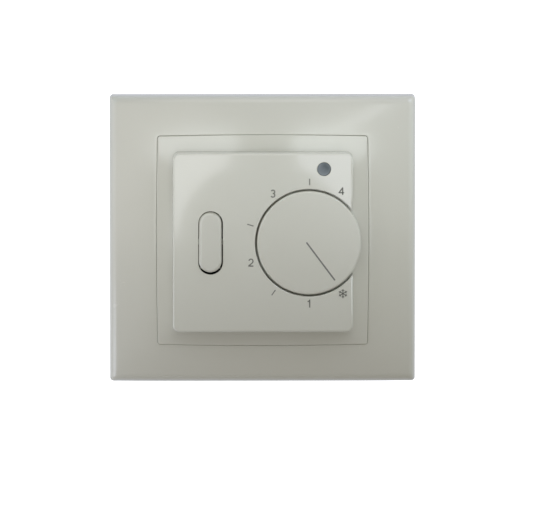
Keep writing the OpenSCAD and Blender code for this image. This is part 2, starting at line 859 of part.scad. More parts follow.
module relay_fixed_contact() {
    face_x = hinge_x + 2 + 0.25 + 0.45 + contact_gap;
    color("peru") on_relay() {
        translate([face_x + 0.4, -1.8, relay_floor]) cube([0.5, 3.6, hinge_z - relay_floor - 2]);
        translate([face_x, 0, hinge_z - blade_drop + 1]) rotate([0, 90, 0]) cylinder(r = 0.9, h = 0.5);
    }
}

// ================= parts on the boards =================

module film_capacitor() {
    color("goldenrod") on_wall() slab(rear_floor_z + 0.6, main_z) translate([0, 6]) round_rect(26, 10, 0.8);
}

module reservoir_capacitor() {
    color("midnightblue") on_wall() translate([-12.5, -3.4, 0]) {
        translate([0, 0, main_top]) cylinder(r = 4, h = 12);
        translate([0, 0, main_top + 12]) cylinder(r = 3.4, h = 0.3);
    }
}

module varistor() {
    color("royalblue") on_wall() translate([-3.6, -1.2, main_top + 6]) rotate([90, 0, 0]) {
        cylinder(r = 4.4, h = 3.4);
        for (s = [-1, 1]) translate([s * 2.5 - 0.3, -6, 1.4]) cube([0.6, 3, 0.6]);
    }
}

module fusible_resistor() {
    color("tan") on_wall() translate([-1, -8.5, main_top + 1.6]) rotate([0, 90, 0]) {
        translate([0, 0, -4]) cylinder(r = 1.5, h = 8);
        for (s = [-1, 1]) translate([-0.3, -0.3, s * 5 - 1.2]) cube([1.9, 0.6, 2.4]);
    }
}

module rectifier_diodes() {
    color("black") on_wall() for (i = [0 : 3])
        translate([-11.5 + 4 * i, -15.6, main_top]) {
            cube([2.6, 4.4, 2]);
            for (y = [-0.6, 4.4]) translate([0.5, y, 0]) cube([1.6, 0.6, 0.3]);
        }
}

// ================= terminals =================

module terminal_block() {
    chamber_high = entry_y + wire_entry / 2 + 0.4;
    color("darkslategray") on_wall() difference() {
        translate([-block_half, block_low, -rear_depth])
            cube([2 * block_half, block_high - block_low, rear_depth + main_z]);
        at_terminals() {
            translate([0, entry_y, (clamp_z + clamp_len - rear_depth) / 2])
                cube([wire_entry, wire_entry, rear_depth + clamp_z + clamp_len + 0.4], center = true);
            translate([-wire_entry / 2, chamber_high - wire_entry - 0.8, clamp_z - loose / 2])
                cube([wire_entry, wire_entry + 0.8, clamp_len + loose]);
            translate([-1.6, block_low - past, window_z - 1.6]) cube([3.2, entry_y - block_low + past, 3.2]);
        }
    }
}

module terminal_clamps() {
    wire_way = 2.4;
    color("gold") on_wall() at_terminals() difference() {
        translate([-wire_entry / 2, entry_y - wire_entry / 2 - 0.3, clamp_z])
            cube([wire_entry, wire_entry + 0.6, clamp_len]);
        translate([-wire_way / 2, entry_y - wire_way / 2 + 0.3, clamp_z - past])
            cube([wire_way, wire_way, clamp_len + 2 * past]);
        translate([0, entry_y, window_z]) rotate([90, 0, 0]) cylinder(r = terminal_screw_r, h = 8);
    }
}

module terminal_screws() {
    head_t = 1.4;
    color("silver") on_wall() at_terminals() translate([0, block_low + 0.3 + head_t, window_z])
        rotate([90, 0, 0]) difference() {
        union() {
            cylinder(r = terminal_head_r, h = head_t);
            translate([0, 0, block_low + 0.3 + head_t - entry_y + 0.4])
                cylinder(r = terminal_screw_r, h = 6, $fn = 48);
        }
        translate([-2, -0.25, head_t * 0.5]) cube([4, 0.5, 2]);
    }
}

// ================= drawing =================

outer_frame();
adapter_ring();
front_cover();
cover_screw();
led_lens();
setting_dial();
min_limit_ring();
max_limit_ring();
ring_retainer();
pot_shaft();
pot_wiper();
pot_track();
pot_case();
rocker_key();
rocker_plunger();
rocker_spring();
switch_housing();
switch_contact();
switch_saddle();
switch_fixed_contact();
front_housing();
control_board();
control_board_screws();
indicator_led();
control_chip();
support_plate();
rear_housing();
housing_screws();
main_board();
main_board_screws();
board_header();
header_pins();
relay_base();
relay_case();
relay_coil();
relay_yoke();
relay_armature();
relay_moving_contact();
relay_fixed_contact();
film_capacitor();
reservoir_capacitor();
varistor();
fusible_resistor();
rectifier_diodes();
terminal_block();
terminal_clamps();
terminal_screws();
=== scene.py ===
"""Looks of a flush-mounted dial thermostat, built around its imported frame.

Pieces are modelled face-on in millimetres, x to the right, y up and z out of the wall, and are stood up on
the wall when they are finished. The casings that show are modelled here, and the cover, the key and the rest
are softened copies of the frame's nodes.
"""

import json
import logging
import math
from dataclasses import dataclass, field
from enum import Enum
from typing import Any, Callable, Iterable, Union

import bmesh
import bpy
from mathutils import Matrix, Vector


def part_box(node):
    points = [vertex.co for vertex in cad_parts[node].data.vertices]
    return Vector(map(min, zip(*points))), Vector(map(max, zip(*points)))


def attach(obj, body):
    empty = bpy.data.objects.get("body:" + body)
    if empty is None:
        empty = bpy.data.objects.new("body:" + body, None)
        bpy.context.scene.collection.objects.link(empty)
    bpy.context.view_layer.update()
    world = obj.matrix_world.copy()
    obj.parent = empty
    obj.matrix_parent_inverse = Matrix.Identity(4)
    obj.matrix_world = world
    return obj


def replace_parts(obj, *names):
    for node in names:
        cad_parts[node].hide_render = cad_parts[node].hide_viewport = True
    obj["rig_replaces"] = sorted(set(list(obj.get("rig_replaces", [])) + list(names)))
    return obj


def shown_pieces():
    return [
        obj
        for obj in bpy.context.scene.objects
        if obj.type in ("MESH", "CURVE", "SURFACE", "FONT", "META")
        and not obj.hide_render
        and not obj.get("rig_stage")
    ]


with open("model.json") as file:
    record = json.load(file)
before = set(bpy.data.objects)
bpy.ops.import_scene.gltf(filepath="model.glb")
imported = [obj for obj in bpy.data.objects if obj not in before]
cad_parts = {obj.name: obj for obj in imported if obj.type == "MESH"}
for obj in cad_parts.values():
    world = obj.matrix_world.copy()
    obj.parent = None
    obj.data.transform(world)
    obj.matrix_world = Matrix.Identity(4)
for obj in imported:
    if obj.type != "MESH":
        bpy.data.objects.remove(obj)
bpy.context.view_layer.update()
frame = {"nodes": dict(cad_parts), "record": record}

LOG = logging.getLogger("thermostat")
MM = 0.001
FACE_ON = Matrix(((MM, 0, 0, 0), (0, 0, -MM, 0), (0, MM, 0, 0), (0, 0, 0, 1)))

Pair = tuple[float, float]
Triple = tuple[float, float, float]
Colour = Triple
Outline = list[Pair]
Height = Callable[[float, float], float]
Heights = Union[float, Height]
Loop = list[bmesh.types.BMVert]


class Body(Enum):
    """The bodies of the frame that pieces ride on."""

    HOUSING = "housing"
    DIAL = "dial"
    ROCKER = "rocker"
    CONTACT_STRIP = "contact_strip"
    ARMATURE = "armature"


# ---------------------------------------------------------------------------------------------- shader maths


class Link:
    """A shader socket that can be used in Python expressions, each of which adds Math nodes."""

    def __init__(self, tree: bpy.types.NodeTree, socket: bpy.types.NodeSocket) -> None:
        """Wraps a socket.

        Args:
            tree: The node tree that the socket belongs to.
            socket: The output socket to wrap.
        """
        self.tree = tree
        self.socket = socket

    def _math(self, operation: str, *values: Any) -> "Link":
        """Adds a Math node.

        Args:
            operation: The node's operation.
            values: Its inputs, in order, as links or numbers.

        Returns:
            The node's result.
        """
        node = self.tree.nodes.new("ShaderNodeMath")
        node.operation = operation
        for slot, value in zip(node.inputs, values):
            if isinstance(value, Link):
                self.tree.links.new(value.socket, slot)
            else:
                slot.default_value = value
        return Link(self.tree, node.outputs[0])

    def __add__(self, other: Any) -> "Link":
        """Adds a value."""
        return self._math("ADD", self, other)

    def __radd__(self, other: Any) -> "Link":
        """Is added to a number."""
        return self._math("ADD", other, self)

    def __sub__(self, other: Any) -> "Link":
        """Takes a value away."""
        return self._math("SUBTRACT", self, other)

    def __rsub__(self, other: Any) -> "Link":
        """Is taken away from a number."""
        return self._math("SUBTRACT", other, self)

    def __mul__(self, other: Any) -> "Link":
        """Multiplies by a value."""
        return self._math("MULTIPLY", self, other)

    def __rmul__(self, other: Any) -> "Link":
        """Multiplies a number."""
        return self._math("MULTIPLY", other, self)

    def __truediv__(self, other: Any) -> "Link":
        """Divides by a value."""
        return self._math("DIVIDE", self, other)

    def __gt__(self, other: Any) -> "Link":
        """Is 1 where the value is above another, else 0."""
        return self._math("GREATER_THAN", self, other)

    def __lt__(self, other: Any) -> "Link":
        """Is 1 where the value is below another, else 0."""
        return self._math("LESS_THAN", self, other)

    def sine(self) -> "Link":
        """Gives the sine of the value."""
        return self._math("SINE", self)

    def power(self, exponent: float) -> "Link":
        """Raises the value to a power."""
        return self._math("POWER", self, exponent)

    def fraction(self) -> "Link":
        """Gives the part of the value after the point."""
        return self._math("FRACT", self)


class Shader:
    """A material or a world that is being wired."""

    def __init__(self, name: str, world: Union[bpy.types.World, None] = None) -> None:
        """Starts an empty material, or empties a world.

        Args:
            name: The material's name.
            world: The world, or None for a new material.
        """
        self.material = world or bpy.data.materials.new(name)
        self.material.use_nodes = True
        self.tree = self.material.node_tree
        self.tree.nodes.clear()

    def node(self, kind: str, settings: dict[str, Any], inputs: dict[str, Any]) -> bpy.types.Node:
        """Adds any node.

        Args:
            kind: The node's type.
            settings: Attributes that are set first; "stops" sets a ramp's (position, colour) pairs.
            inputs: Values or links of its input sockets, by name.

        Returns:
            The node.
        """
        node = self.tree.nodes.new(kind)
        for key, value in settings.items():
            if key == "stops":
                ramp = node.color_ramp
                while len(ramp.elements) < len(value):
                    ramp.elements.new(0.5)
                for element, (place, colour) in zip(ramp.elements, value):
                    element.position = place
                    element.color = (*colour, 1.0)
            else:
                setattr(node, key, value)
        for key, value in inputs.items():
            if isinstance(value, Link):
                self.tree.links.new(value.socket, node.inputs[key])
            else:
                node.inputs[key].default_value = value
        return node

    def out(self, node: bpy.types.Node, name: Union[str, int] = 0) -> Link:
        """Gives a node's output as a link."""
        return Link(self.tree, node.outputs[name])

    def place(self, scale: Triple = (1, 1, 1), turn: Triple = (0, 0, 0)) -> Link:
        """Gives Object coordinates in millimetres.

        Args:
            scale: Factors that stretch a pattern along the axes.
            turn: Rotation of the pattern in degrees.

        Returns:
            The coordinates.
        """
        where = self.node("ShaderNodeTexCoord", {}, {})
        mapping = self.node(
            "ShaderNodeMapping",
            {},
            {
                "Vector": self.out(where, "Object"),
                "Rotation": tuple(math.radians(a) for a in turn),
                "Scale": tuple(s / MM for s in scale),
            },
        )
        return self.out(mapping)

    def noise(self, size: float, detail: float = 2.0, place: Union[Link, None] = None) -> Link:
        """Gives smooth noise from 0 to 1.

        Args:
            size: Width of its blobs in millimetres.
            detail: Number of finer layers.
            place: Coordinates in millimetres, or None for plain ones.

        Returns:
            The noise.
        """
        inputs = {"Vector": place or self.place(), "Scale": 1 / size, "Detail": detail, "Roughness": 0.55}
        return self.out(self.node("ShaderNodeTexNoise", {}, inputs), "Fac")

    def cells(self, size: float, output: str = "Distance", place: Union[Link, None] = None) -> Link:
        """Gives a cell pattern.

        Args:
            size: Width of a cell in millimetres.
            output: "Distance" from the cell's point, or "Color", a random colour for each cell.
            place: Coordinates in millimetres, or None for plain ones.

        Returns:
            The pattern.
        """
        inputs = {"Vector": place or self.place(), "Scale": 1 / size}
        return self.out(self.node("ShaderNodeTexVoronoi", {}, inputs), output)

    def mix(self, factor: Union[Link, float], first: Any, second: Any) -> Link:
        """Mixes two colours.

        Args:
            factor: Share of the second colour.
            first: A colour or a link.
            second: A colour or a link.

        Returns:
            The mixed colour.
        """
        node = self.node("ShaderNodeMix", {"data_type": "RGBA", "clamp_factor": True}, {})
        for index, value in ((0, factor), (6, first), (7, second)):
            if isinstance(value, Link):
                self.tree.links.new(value.socket, node.inputs[index])
            else:
                node.inputs[index].default_value = value if index == 0 else (*value, 1.0)
        return Link(self.tree, node.outputs[2])

    def bump(self, height: Link, depth: float, below: Union[Link, None] = None) -> Link:
        """Turns a height into a normal.

        Args:
            height: Height from 0 to 1.
            depth: Height of 1, in millimetres.
            below: A normal that this bump adds to, or None.

        Returns:
            The normal.
        """
        inputs = {"Height": height, "Distance": depth * MM, "Strength": 1.0}
        if below is not None:
            inputs["Normal"] = below
        return self.out(self.node("ShaderNodeBump", {}, inputs))

    def surface(self, inputs: dict[str, Any]) -> bpy.types.Material:
        """Ends the material in one Principled shader.

        Args:
            inputs: Values or links of the shader's sockets; a plain colour has three numbers.

        Returns:
            The finished material.
        """
        values = {k: (*v, 1.0) if isinstance(v, tuple) and len(v) == 3 else v for k, v in inputs.items()}
        shader = self.node("ShaderNodeBsdfPrincipled", {}, values)
        output = self.node("ShaderNodeOutputMaterial", {}, {})
        self.tree.links.new(shader.outputs[0], output.inputs["Surface"])
        return self.material


# -------------------------------------------------------------------------------------------------- finishes


@dataclass(frozen=True)
class MouldedPlastic:
    """Injection-moulded plastic: orange peel or spark-eroded grain, and faint flow marks in its colour.

    Attributes:
        colour: Base colour.
        tint: Colour of the flow marks.
        roughness: Mean roughness.
        spread: How far the roughness wanders from its mean.
        peel: Width of the orange peel's waves in millimetres.
        peel_depth: Depth of the waves in millimetres.
        grain: Width of the fine grain in millimetres.
        grain_depth: Depth of the fine grain in millimetres.
        coat: Weight of the clear, glossy skin.
        coat_roughness: Roughness of that skin.
    """

    colour: Colour
    tint: Colour
    roughness: float = 0.3
    spread: float = 0.06
    peel: float = 2.6
    peel_depth: float = 0.004
    grain: float = 0.12
    grain_depth: float = 0.001
    coat: float = 0.0
    coat_roughness: float = 0.11

    def material(self, name: str) -> bpy.types.Material:
        """Makes the material."""
        s = Shader(name)
        flow = s.noise(14.0, 3.0, s.place((1.0, 1.0, 0.55)))
        specks = s.noise(0.5, 1.0)
        peel = s.bump(s.noise(self.peel, 1.0), self.peel_depth)
        return s.surface({
            "Base Color": s.mix(flow * 0.7 + specks * 0.3, self.colour, self.tint),
            "Roughness": s.noise(5.0, 4.0) * (2 * self.spread) + (self.roughness - self.spread),
            "Normal": s.bump(s.noise(self.grain, 2.0), self.grain_depth, peel),
            "Coat Weight": self.coat,
            "Coat Roughness": self.coat_roughness,
            "Coat IOR": 1.6,
            "IOR": 1.55,
        })


@dataclass(frozen=True)
class FilledPlastic:
    """Glass-filled technical plastic: matte, with pale fibre specks and coarse eroded grain.

    Attributes:
        colour: Base colour.
        fibre: Colour of the fibres near the skin.
        roughness: Mean roughness.
        speck: Width of a speck in millimetres.
    """

    colour: Colour
    fibre: Colour
    roughness: float = 0.55
    speck: float = 0.35

    def material(self, name: str) -> bpy.types.Material:
        """Makes the material."""
        s = Shader(name)
        fibres = s.noise(self.speck, 3.0, s.place((1.0, 1.0, 0.25), (0, 25, 0)))
        flow = s.noise(9.0, 2.0, s.place((0.4, 1.0, 1.0)))
        colour = s.mix((fibres - 0.56) * 5.0, self.colour, self.fibre)
        shade = tuple(0.86 * c for c in self.colour)
        return s.surface({
            "Base Color": s.mix(flow * 0.5, colour, shade),
            "Roughness": s.noise(2.0, 3.0) * 0.22 + (self.roughness - 0.11),
            "Normal": s.bump(s.noise(0.22, 3.0), 0.012),
        })


@dataclass(frozen=True)
class RolledSheet:
    """Zinc-plated sheet metal: rolling streaks along one axis, soft spangle, and dull patches.

    Attributes:
        colour: Base colour.
        dull: Colour of the dull patches.
        roughness: Mean roughness.
        streaks: Stretch of the rolling streaks along the axes.
        spangle: Width of a zinc crystal in millimetres.
    """

    colour: Colour
    dull: Colour
    roughness: float = 0.32
    streaks: Triple = (0.03, 1.0, 1.0)
    spangle: float = 2.2

    def material(self, name: str) -> bpy.types.Material:
        """Makes the material."""
        s = Shader(name)
        lines = s.noise(0.14, 3.0, s.place(self.streaks))
        crystal = s.cells(self.spangle, "Color")
        patch = s.noise(7.0, 4.0)
        shade = s.node("ShaderNodeSeparateColor", {}, {"Color": crystal})
        bright = s.out(shade, "Red")
        return s.surface({
            "Base Color": s.mix(patch * 0.7 + bright * 0.3, self.colour, self.dull),
            "Metallic": 1.0,
            "Roughness": lines * 0.12 + bright * 0.08 + patch * 0.12 + (self.roughness - 0.16),
            "Normal": s.bump(lines, 0.0025),
        })


@dataclass(frozen=True)
class TurnedMetal:
    """Drawn, turned or plated small metal parts with fine tool marks and a slight film.

    Attributes:
        colour: Base colour.
        film: Colour of the film.
        roughness: Mean roughness.
        mark: Width of the tool marks in millimetres.
        marks: Stretch of the tool marks along the axes.
    """

    colour: Colour
    film: Colour
    roughness: float = 0.25
    mark: float = 0.08
    marks: Triple = (1.0, 8.0, 1.0)

    def material(self, name: str) -> bpy.types.Material:
        """Makes the material."""
        s = Shader(name)
        tool = s.noise(self.mark, 2.0, s.place(self.marks))
        film = s.noise(1.6, 4.0)
        return s.surface({
            "Base Color": s.mix((film - 0.35) * 1.6, self.colour, self.film),
            "Metallic": 1.0,
            "Roughness": tool * 0.14 + film * 0.14 + (self.roughness - 0.14),
            "Normal": s.bump(tool, 0.0018),
        })


@dataclass(frozen=True)
class Laminate:
    """Circuit board: green resist over copper tracks, with the weave of the glass cloth showing through.

    Attributes:
        resist: Colour of the resist over bare laminate.
        track: Colour of the resist over copper.
        pitch: Distance between neighbouring tracks in millimetres.
    """

    resist: Colour
    track: Colour
    pitch: float = 2.6

    def material(self, name: str) -> bpy.types.Material:
        """Makes the material."""
        s = Shader(name)
        upright = {"Vector": s.place((1.0, 0.0, 1.0)), "Rotation": (math.radians(90), 0, 0)}
        lying = s.node("ShaderNodeMapping", {}, upright)
        brick = s.node(
            "ShaderNodeTexBrick",
            {"offset": 0.37, "squash": 1.6, "squash_frequency": 3},
            {
                "Vector": s.out(lying),
                "Scale": 1 / self.pitch,
                "Mortar Size": 0.16,
                "Mortar Smooth": 0.15,
                "Brick Width": 2.6,
                "Row Height": 1.0,
            },
        )
        tracks = s.out(brick, "Fac")
        weave = s.noise(0.45, 1.0, s.place((1.0, 1.0, 0.15))) * s.noise(0.45, 1.0, s.place((0.15, 1.0, 1.0)))
        return s.surface({
            "Base Color": s.mix(weave * 0.6, s.mix(tracks, self.resist, self.track), (0.09, 0.28, 0.12)),
            "Roughness": weave * 0.25 + 0.22,
            "Normal": s.bump(tracks, 0.03, s.bump(weave, 0.01)),
            "Coat Weight": 0.4,
        })


@dataclass(frozen=True)
class Winding:
    """A coil's enamelled copper wire, turn beside turn, its colour painted darker in the valleys between the
    turns as painted shade.

    Attributes:
        wire: Diameter of the wire in millimetres.
    """

    wire: float = 0.22

    def material(self, name: str) -> bpy.types.Material:
        """Makes the material."""
        s = Shader(name)
        along = s.out(s.node("ShaderNodeSeparateXYZ", {}, {"Vector": s.place()}), "Y")
        # Painted shade: the wire's colour is darker in the valleys between the turns and lighter on their
        # crests.
        ridges_and_painted_shade = (along * (2 * math.pi / self.wire)).sine() * 0.5 + 0.5
        drift = s.noise(1.3, 3.0)
        return s.surface({
            "Base Color": s.mix(ridges_and_painted_shade * 0.7 + drift * 0.3, (0.16, 0.035, 0.012), (0.72, 0.27, 0.1)),
            "Metallic": 0.85,
            "Roughness": drift * 0.2 + 0.22,
            "Normal": s.bump(ridges_and_painted_shade, 0.07),
        })


@dataclass(frozen=True)
class Ink:
    """Pad-printed ink: matte, a little thin in places.

    Attributes:
        colour: The ink's colour.
        thin: Its colour where it is thin.
    """

    colour: Colour
    thin: Colour

    def material(self, name: str) -> bpy.types.Material:
        """Makes the material."""
        s = Shader(name)
        cover = s.noise(0.18, 3.0)
        return s.surface({
            "Base Color": s.mix((cover - 0.45) * 2.0, self.colour, self.thin),
            "Roughness": cover * 0.2 + 0.45,
            "Normal": s.bump(s.noise(0.06, 1.0), 0.003),
        })


@dataclass(frozen=True)
class Tinted:
    """A tinted light guide: smoked resin whose colour is painted darker in the middle as painted shade of its
    depth, and lighter along its polished rim as a painted sheen.

    Attributes:
        colour: Colour of the resin.
        depth: Colour in the middle, painted shade of the guide's depth.
        centre: Middle of the guide in the row frame, in millimetres.
        radius: Its radius in millimetres.
    """

    colour: Colour
    depth: Colour
    centre: Triple
    radius: float

    def material(self, name: str) -> bpy.types.Material:
        """Makes the material."""
        s = Shader(name)
        ends = {0: s.place((1.0, 0.0, 1.0)), 1: (self.centre[0], 0, self.centre[2])}
        offset = s.node("ShaderNodeVectorMath", {"operation": "SUBTRACT"}, ends)
        length = s.node("ShaderNodeVectorMath", {"operation": "LENGTH"}, {0: s.out(offset)})
        # Painted shade and sheen: the colour lightens from the dark middle towards the rim.
        rim = (s.out(length, "Value") / self.radius).power(3.0)
        return s.surface({
            "Base Color": s.mix(rim * 0.45 + s.noise(0.8, 2.0) * 0.2, self.depth, self.colour),
            "Roughness": s.noise(0.5, 2.0) * 0.1 + 0.16,
            "Normal": s.bump(s.noise(0.3, 1.0), 0.002),
            "Coat Weight": 0.15,
            "Coat Roughness": 0.05,
        })


@dataclass(frozen=True)
class Sleeve:
    """A shrink sleeve or coated component body with a lengthwise or ringed band of another colour.

    Attributes:
        colour: Base colour.
        band: Colour of the bands.
        pitch: Distance between the bands in millimetres, or 0 for none.
        axis: The axis that the bands follow each other along.
        share: Share of the pitch that a band takes.
        roughness: Mean roughness.
    """

    colour: Colour
    band: Colour
    pitch: float = 0.0
    axis: str = "X"
    share: float = 0.3
    roughness: float = 0.3

    def material(self, name: str) -> bpy.types.Material:
        """Makes the material."""
        s = Shader(name)
        mottle = s.noise(0.9, 3.0)
        colour = s.mix(mottle * 0.4, self.colour, tuple(0.7 * c for c in self.colour))
        if self.pitch:
            along = s.out(s.node("ShaderNodeSeparateXYZ", {}, {"Vector": s.place()}), self.axis)
            colour = s.mix((along / self.pitch).fraction() < self.share, colour, self.band)
        return s.surface({
            "Base Color": colour,
            "Roughness": mottle * 0.2 + (self.roughness - 0.1),
            "Normal": s.bump(s.noise(0.4, 2.0), 0.01),
            "Coat Weight": 0.3,
        })


Moulded = Union[MouldedPlastic, FilledPlastic, Laminate, Tinted, Sleeve]
Finish = Union[Moulded, RolledSheet, TurnedMetal, Winding, Ink]

WARM_WHITE = (0.735, 0.735, 0.655)
WARM_SHADE = (0.715, 0.712, 0.622)


class Palette:
    """One material for each of the record's finish slots, and the printing ink."""

    FINISHES: dict[str, Finish] = {
        "frame_plastic": MouldedPlastic(
            WARM_WHITE,
            WARM_SHADE,
            0.26,
            0.03,
            peel_depth=0.003,
            grain_depth=0.00035,
            coat=1.0,
            coat_roughness=0.2,
        ),
        "cover_plastic": MouldedPlastic(
            WARM_WHITE, WARM_SHADE, 0.18, 0.03, peel_depth=0.0015, grain_depth=0.0004, coat=1.0
        ),
        "dial_plastic": MouldedPlastic(
            (0.72, 0.72, 0.64),
            (0.69, 0.69, 0.605),
            0.36,
            0.05,
            grain=0.16,
            peel_depth=0.002,
            grain_depth=0.004,
        ),
        "housing_plastic": FilledPlastic((0.47, 0.47, 0.45), (0.62, 0.62, 0.6), 0.5),
        "terminal_plastic": FilledPlastic((0.035, 0.038, 0.042), (0.1, 0.105, 0.11), 0.48, 0.28),
        "switch_plastic": FilledPlastic((0.012, 0.012, 0.014), (0.05, 0.05, 0.055), 0.45, 0.25),
        "plunger_plastic": MouldedPlastic((0.75, 0.75, 0.72), (0.68, 0.68, 0.64), 0.4, 0.06),
        "blue_plastic": MouldedPlastic((0.02, 0.09, 0.42), (0.015, 0.07, 0.34), 0.38, 0.06),
        "red_plastic": MouldedPlastic((0.45, 0.02, 0.015), (0.37, 0.015, 0.012), 0.38, 0.06),
        "plated_steel": RolledSheet((0.62, 0.62, 0.6), (0.48, 0.49, 0.5), 0.34),
        "screw_steel": TurnedMetal((0.6, 0.59, 0.55), (0.46, 0.47, 0.47), 0.3),
        "spring_steel": TurnedMetal((0.5, 0.51, 0.53), (0.36, 0.37, 0.39), 0.24, 0.05, (6.0, 6.0, 1.0)),
        "relay_iron": TurnedMetal((0.42, 0.43, 0.45), (0.33, 0.33, 0.33), 0.38, 0.12, (1.0, 1.0, 6.0)),
        "shaft_metal": TurnedMetal((0.78, 0.78, 0.77), (0.66, 0.66, 0.66), 0.28, 0.07),
        "contact_brass": TurnedMetal((0.72, 0.5, 0.2), (0.5, 0.31, 0.11), 0.26, 0.06, (5.0, 1.0, 1.0)),
        "coil_copper": Winding(),
        "circuit_board": Laminate((0.012, 0.11, 0.04), (0.03, 0.2, 0.075)),
        "relay_case_plastic": MouldedPlastic((0.78, 0.78, 0.76), (0.72, 0.72, 0.7), 0.3, 0.06),
        "chip_plastic": MouldedPlastic(
            (0.012, 0.012, 0.012), (0.022, 0.022, 0.024), 0.52, 0.08, grain_depth=0.004
        ),
        "pot_plastic": FilledPlastic((0.02, 0.07, 0.24), (0.05, 0.12, 0.32), 0.45, 0.25),
        "track_carbon": Sleeve((0.012, 0.012, 0.012), (0.3, 0.26, 0.2), 0.0, roughness=0.6),
        "film_box": MouldedPlastic((0.72, 0.42, 0.03), (0.62, 0.35, 0.025), 0.32, 0.06, peel_depth=0.008),
        "can_sleeve": Sleeve((0.012, 0.02, 0.07), (0.5, 0.5, 0.48), 9.0, "Z", 0.22),
        "varistor_coat": Sleeve((0.02, 0.07, 0.34), (0.02, 0.07, 0.34), roughness=0.26),
        "resistor_coat": Sleeve((0.46, 0.3, 0.15), (0.2, 0.04, 0.02), 1.9, "X", 0.3),
        "led_resin": MouldedPlastic((0.82, 0.76, 0.45), (0.78, 0.7, 0.4), 0.16, 0.04, coat=0.4),
    }
    INK = Ink((0.19, 0.19, 0.165), (0.27, 0.27, 0.24))
    THIN_INK = Ink((0.2, 0.2, 0.185), (0.26, 0.26, 0.24))

    RING = MouldedPlastic(
        WARM_WHITE, WARM_SHADE, 0.18, 0.03, peel=4.0, peel_depth=0.006, grain_depth=0.0004, coat=1.0
    )
    KEY = MouldedPlastic(
        (0.695, 0.695, 0.62),
        (0.675, 0.672, 0.59),
        0.22,
        0.03,
        coat=0.6,
        peel_depth=0.0015,
        grain_depth=0.0005,
    )

    def __init__(self) -> None:
        """Starts with no material made."""
        self._made: dict[str, bpy.types.Material] = {}

    def get(self, slot: str, finish: Union[Finish, None] = None) -> bpy.types.Material:
        """Gives a material, which is made when it is first asked for.

        Args:
            slot: The record's slot, or a new name.
            finish: The finish of a new name, or None for a slot's own.

        Returns:
            The material.
        """
        if slot not in self._made:
            self._made[slot] = (finish or self.FINISHES[slot]).material(slot)
        return self._made[slot]


PALETTE = Palette()
SLOT_OF: dict[str, str] = {row["node"]: row["material_slot"] for row in frame["record"]["subparts"]}
BODY_OF: dict[str, Body] = {
    node: Body(body) for body, nodes in frame["record"]["behaviour"]["bodies"].items() for node in nodes
}


# -------------------------------------------------------------------------------------------------- outlines


def arc(centre: Pair, radius: float, start: float, end: float, steps: int) -> Outline:
    """Gives points along an arc, both ends included.

    Args:
        centre: The arc's centre.
        radius: Its radius.
        start: Angle of its first point in degrees.
        end: Angle of its last point in degrees.
        steps: Number of steps.

    Returns:
        The points.
    """
    angles = [math.radians(start + (end - start) * i / steps) for i in range(steps + 1)]
    return [(centre[0] + radius * math.cos(a), centre[1] + radius * math.sin(a)) for a in angles]


def pillow_square(half_w: float, half_h: float, radius: float, bow: float = 0.0, steps: int = 24) -> Outline:
    """Gives a rectangle with round corners and sides that bow outwards.

    Args:
        half_w: Half width at the corners.
        half_h: Half height at the corners.
        radius: Corner radius.
        bow: How far each side stands out at its middle.
        steps: Number of steps along a side.

    Returns:
        The closed outline, anticlockwise, with points closer together near the corners.
    """
    points: Outline = []
    corner_steps = 6
    for turn in range(4):
        along, out = (half_h, half_w) if turn % 2 == 0 else (half_w, half_h)
        side = along - radius
        spread = [-math.cos(math.pi * i / steps) for i in range(steps + 1)]
        stretch = [(out + bow * (1 - t * t), side * t) for t in spread]
        corner = arc((out - radius, side), radius, 0, 90, corner_steps)[1:-1]
        cos, sin = round(math.cos(turn * math.pi / 2)), round(math.sin(turn * math.pi / 2))
        points += [(x * cos - y * sin, x * sin + y * cos) for x, y in stretch + corner]
    return points


def square(half: float, radius: float, bow: float = 0.0) -> Outline:
    """Gives a square pillow outline of a half size, a corner radius and a bow of its sides."""
    return pillow_square(half, half, radius, bow)


# ------------------------------------------------------------------------------------------------- modelling


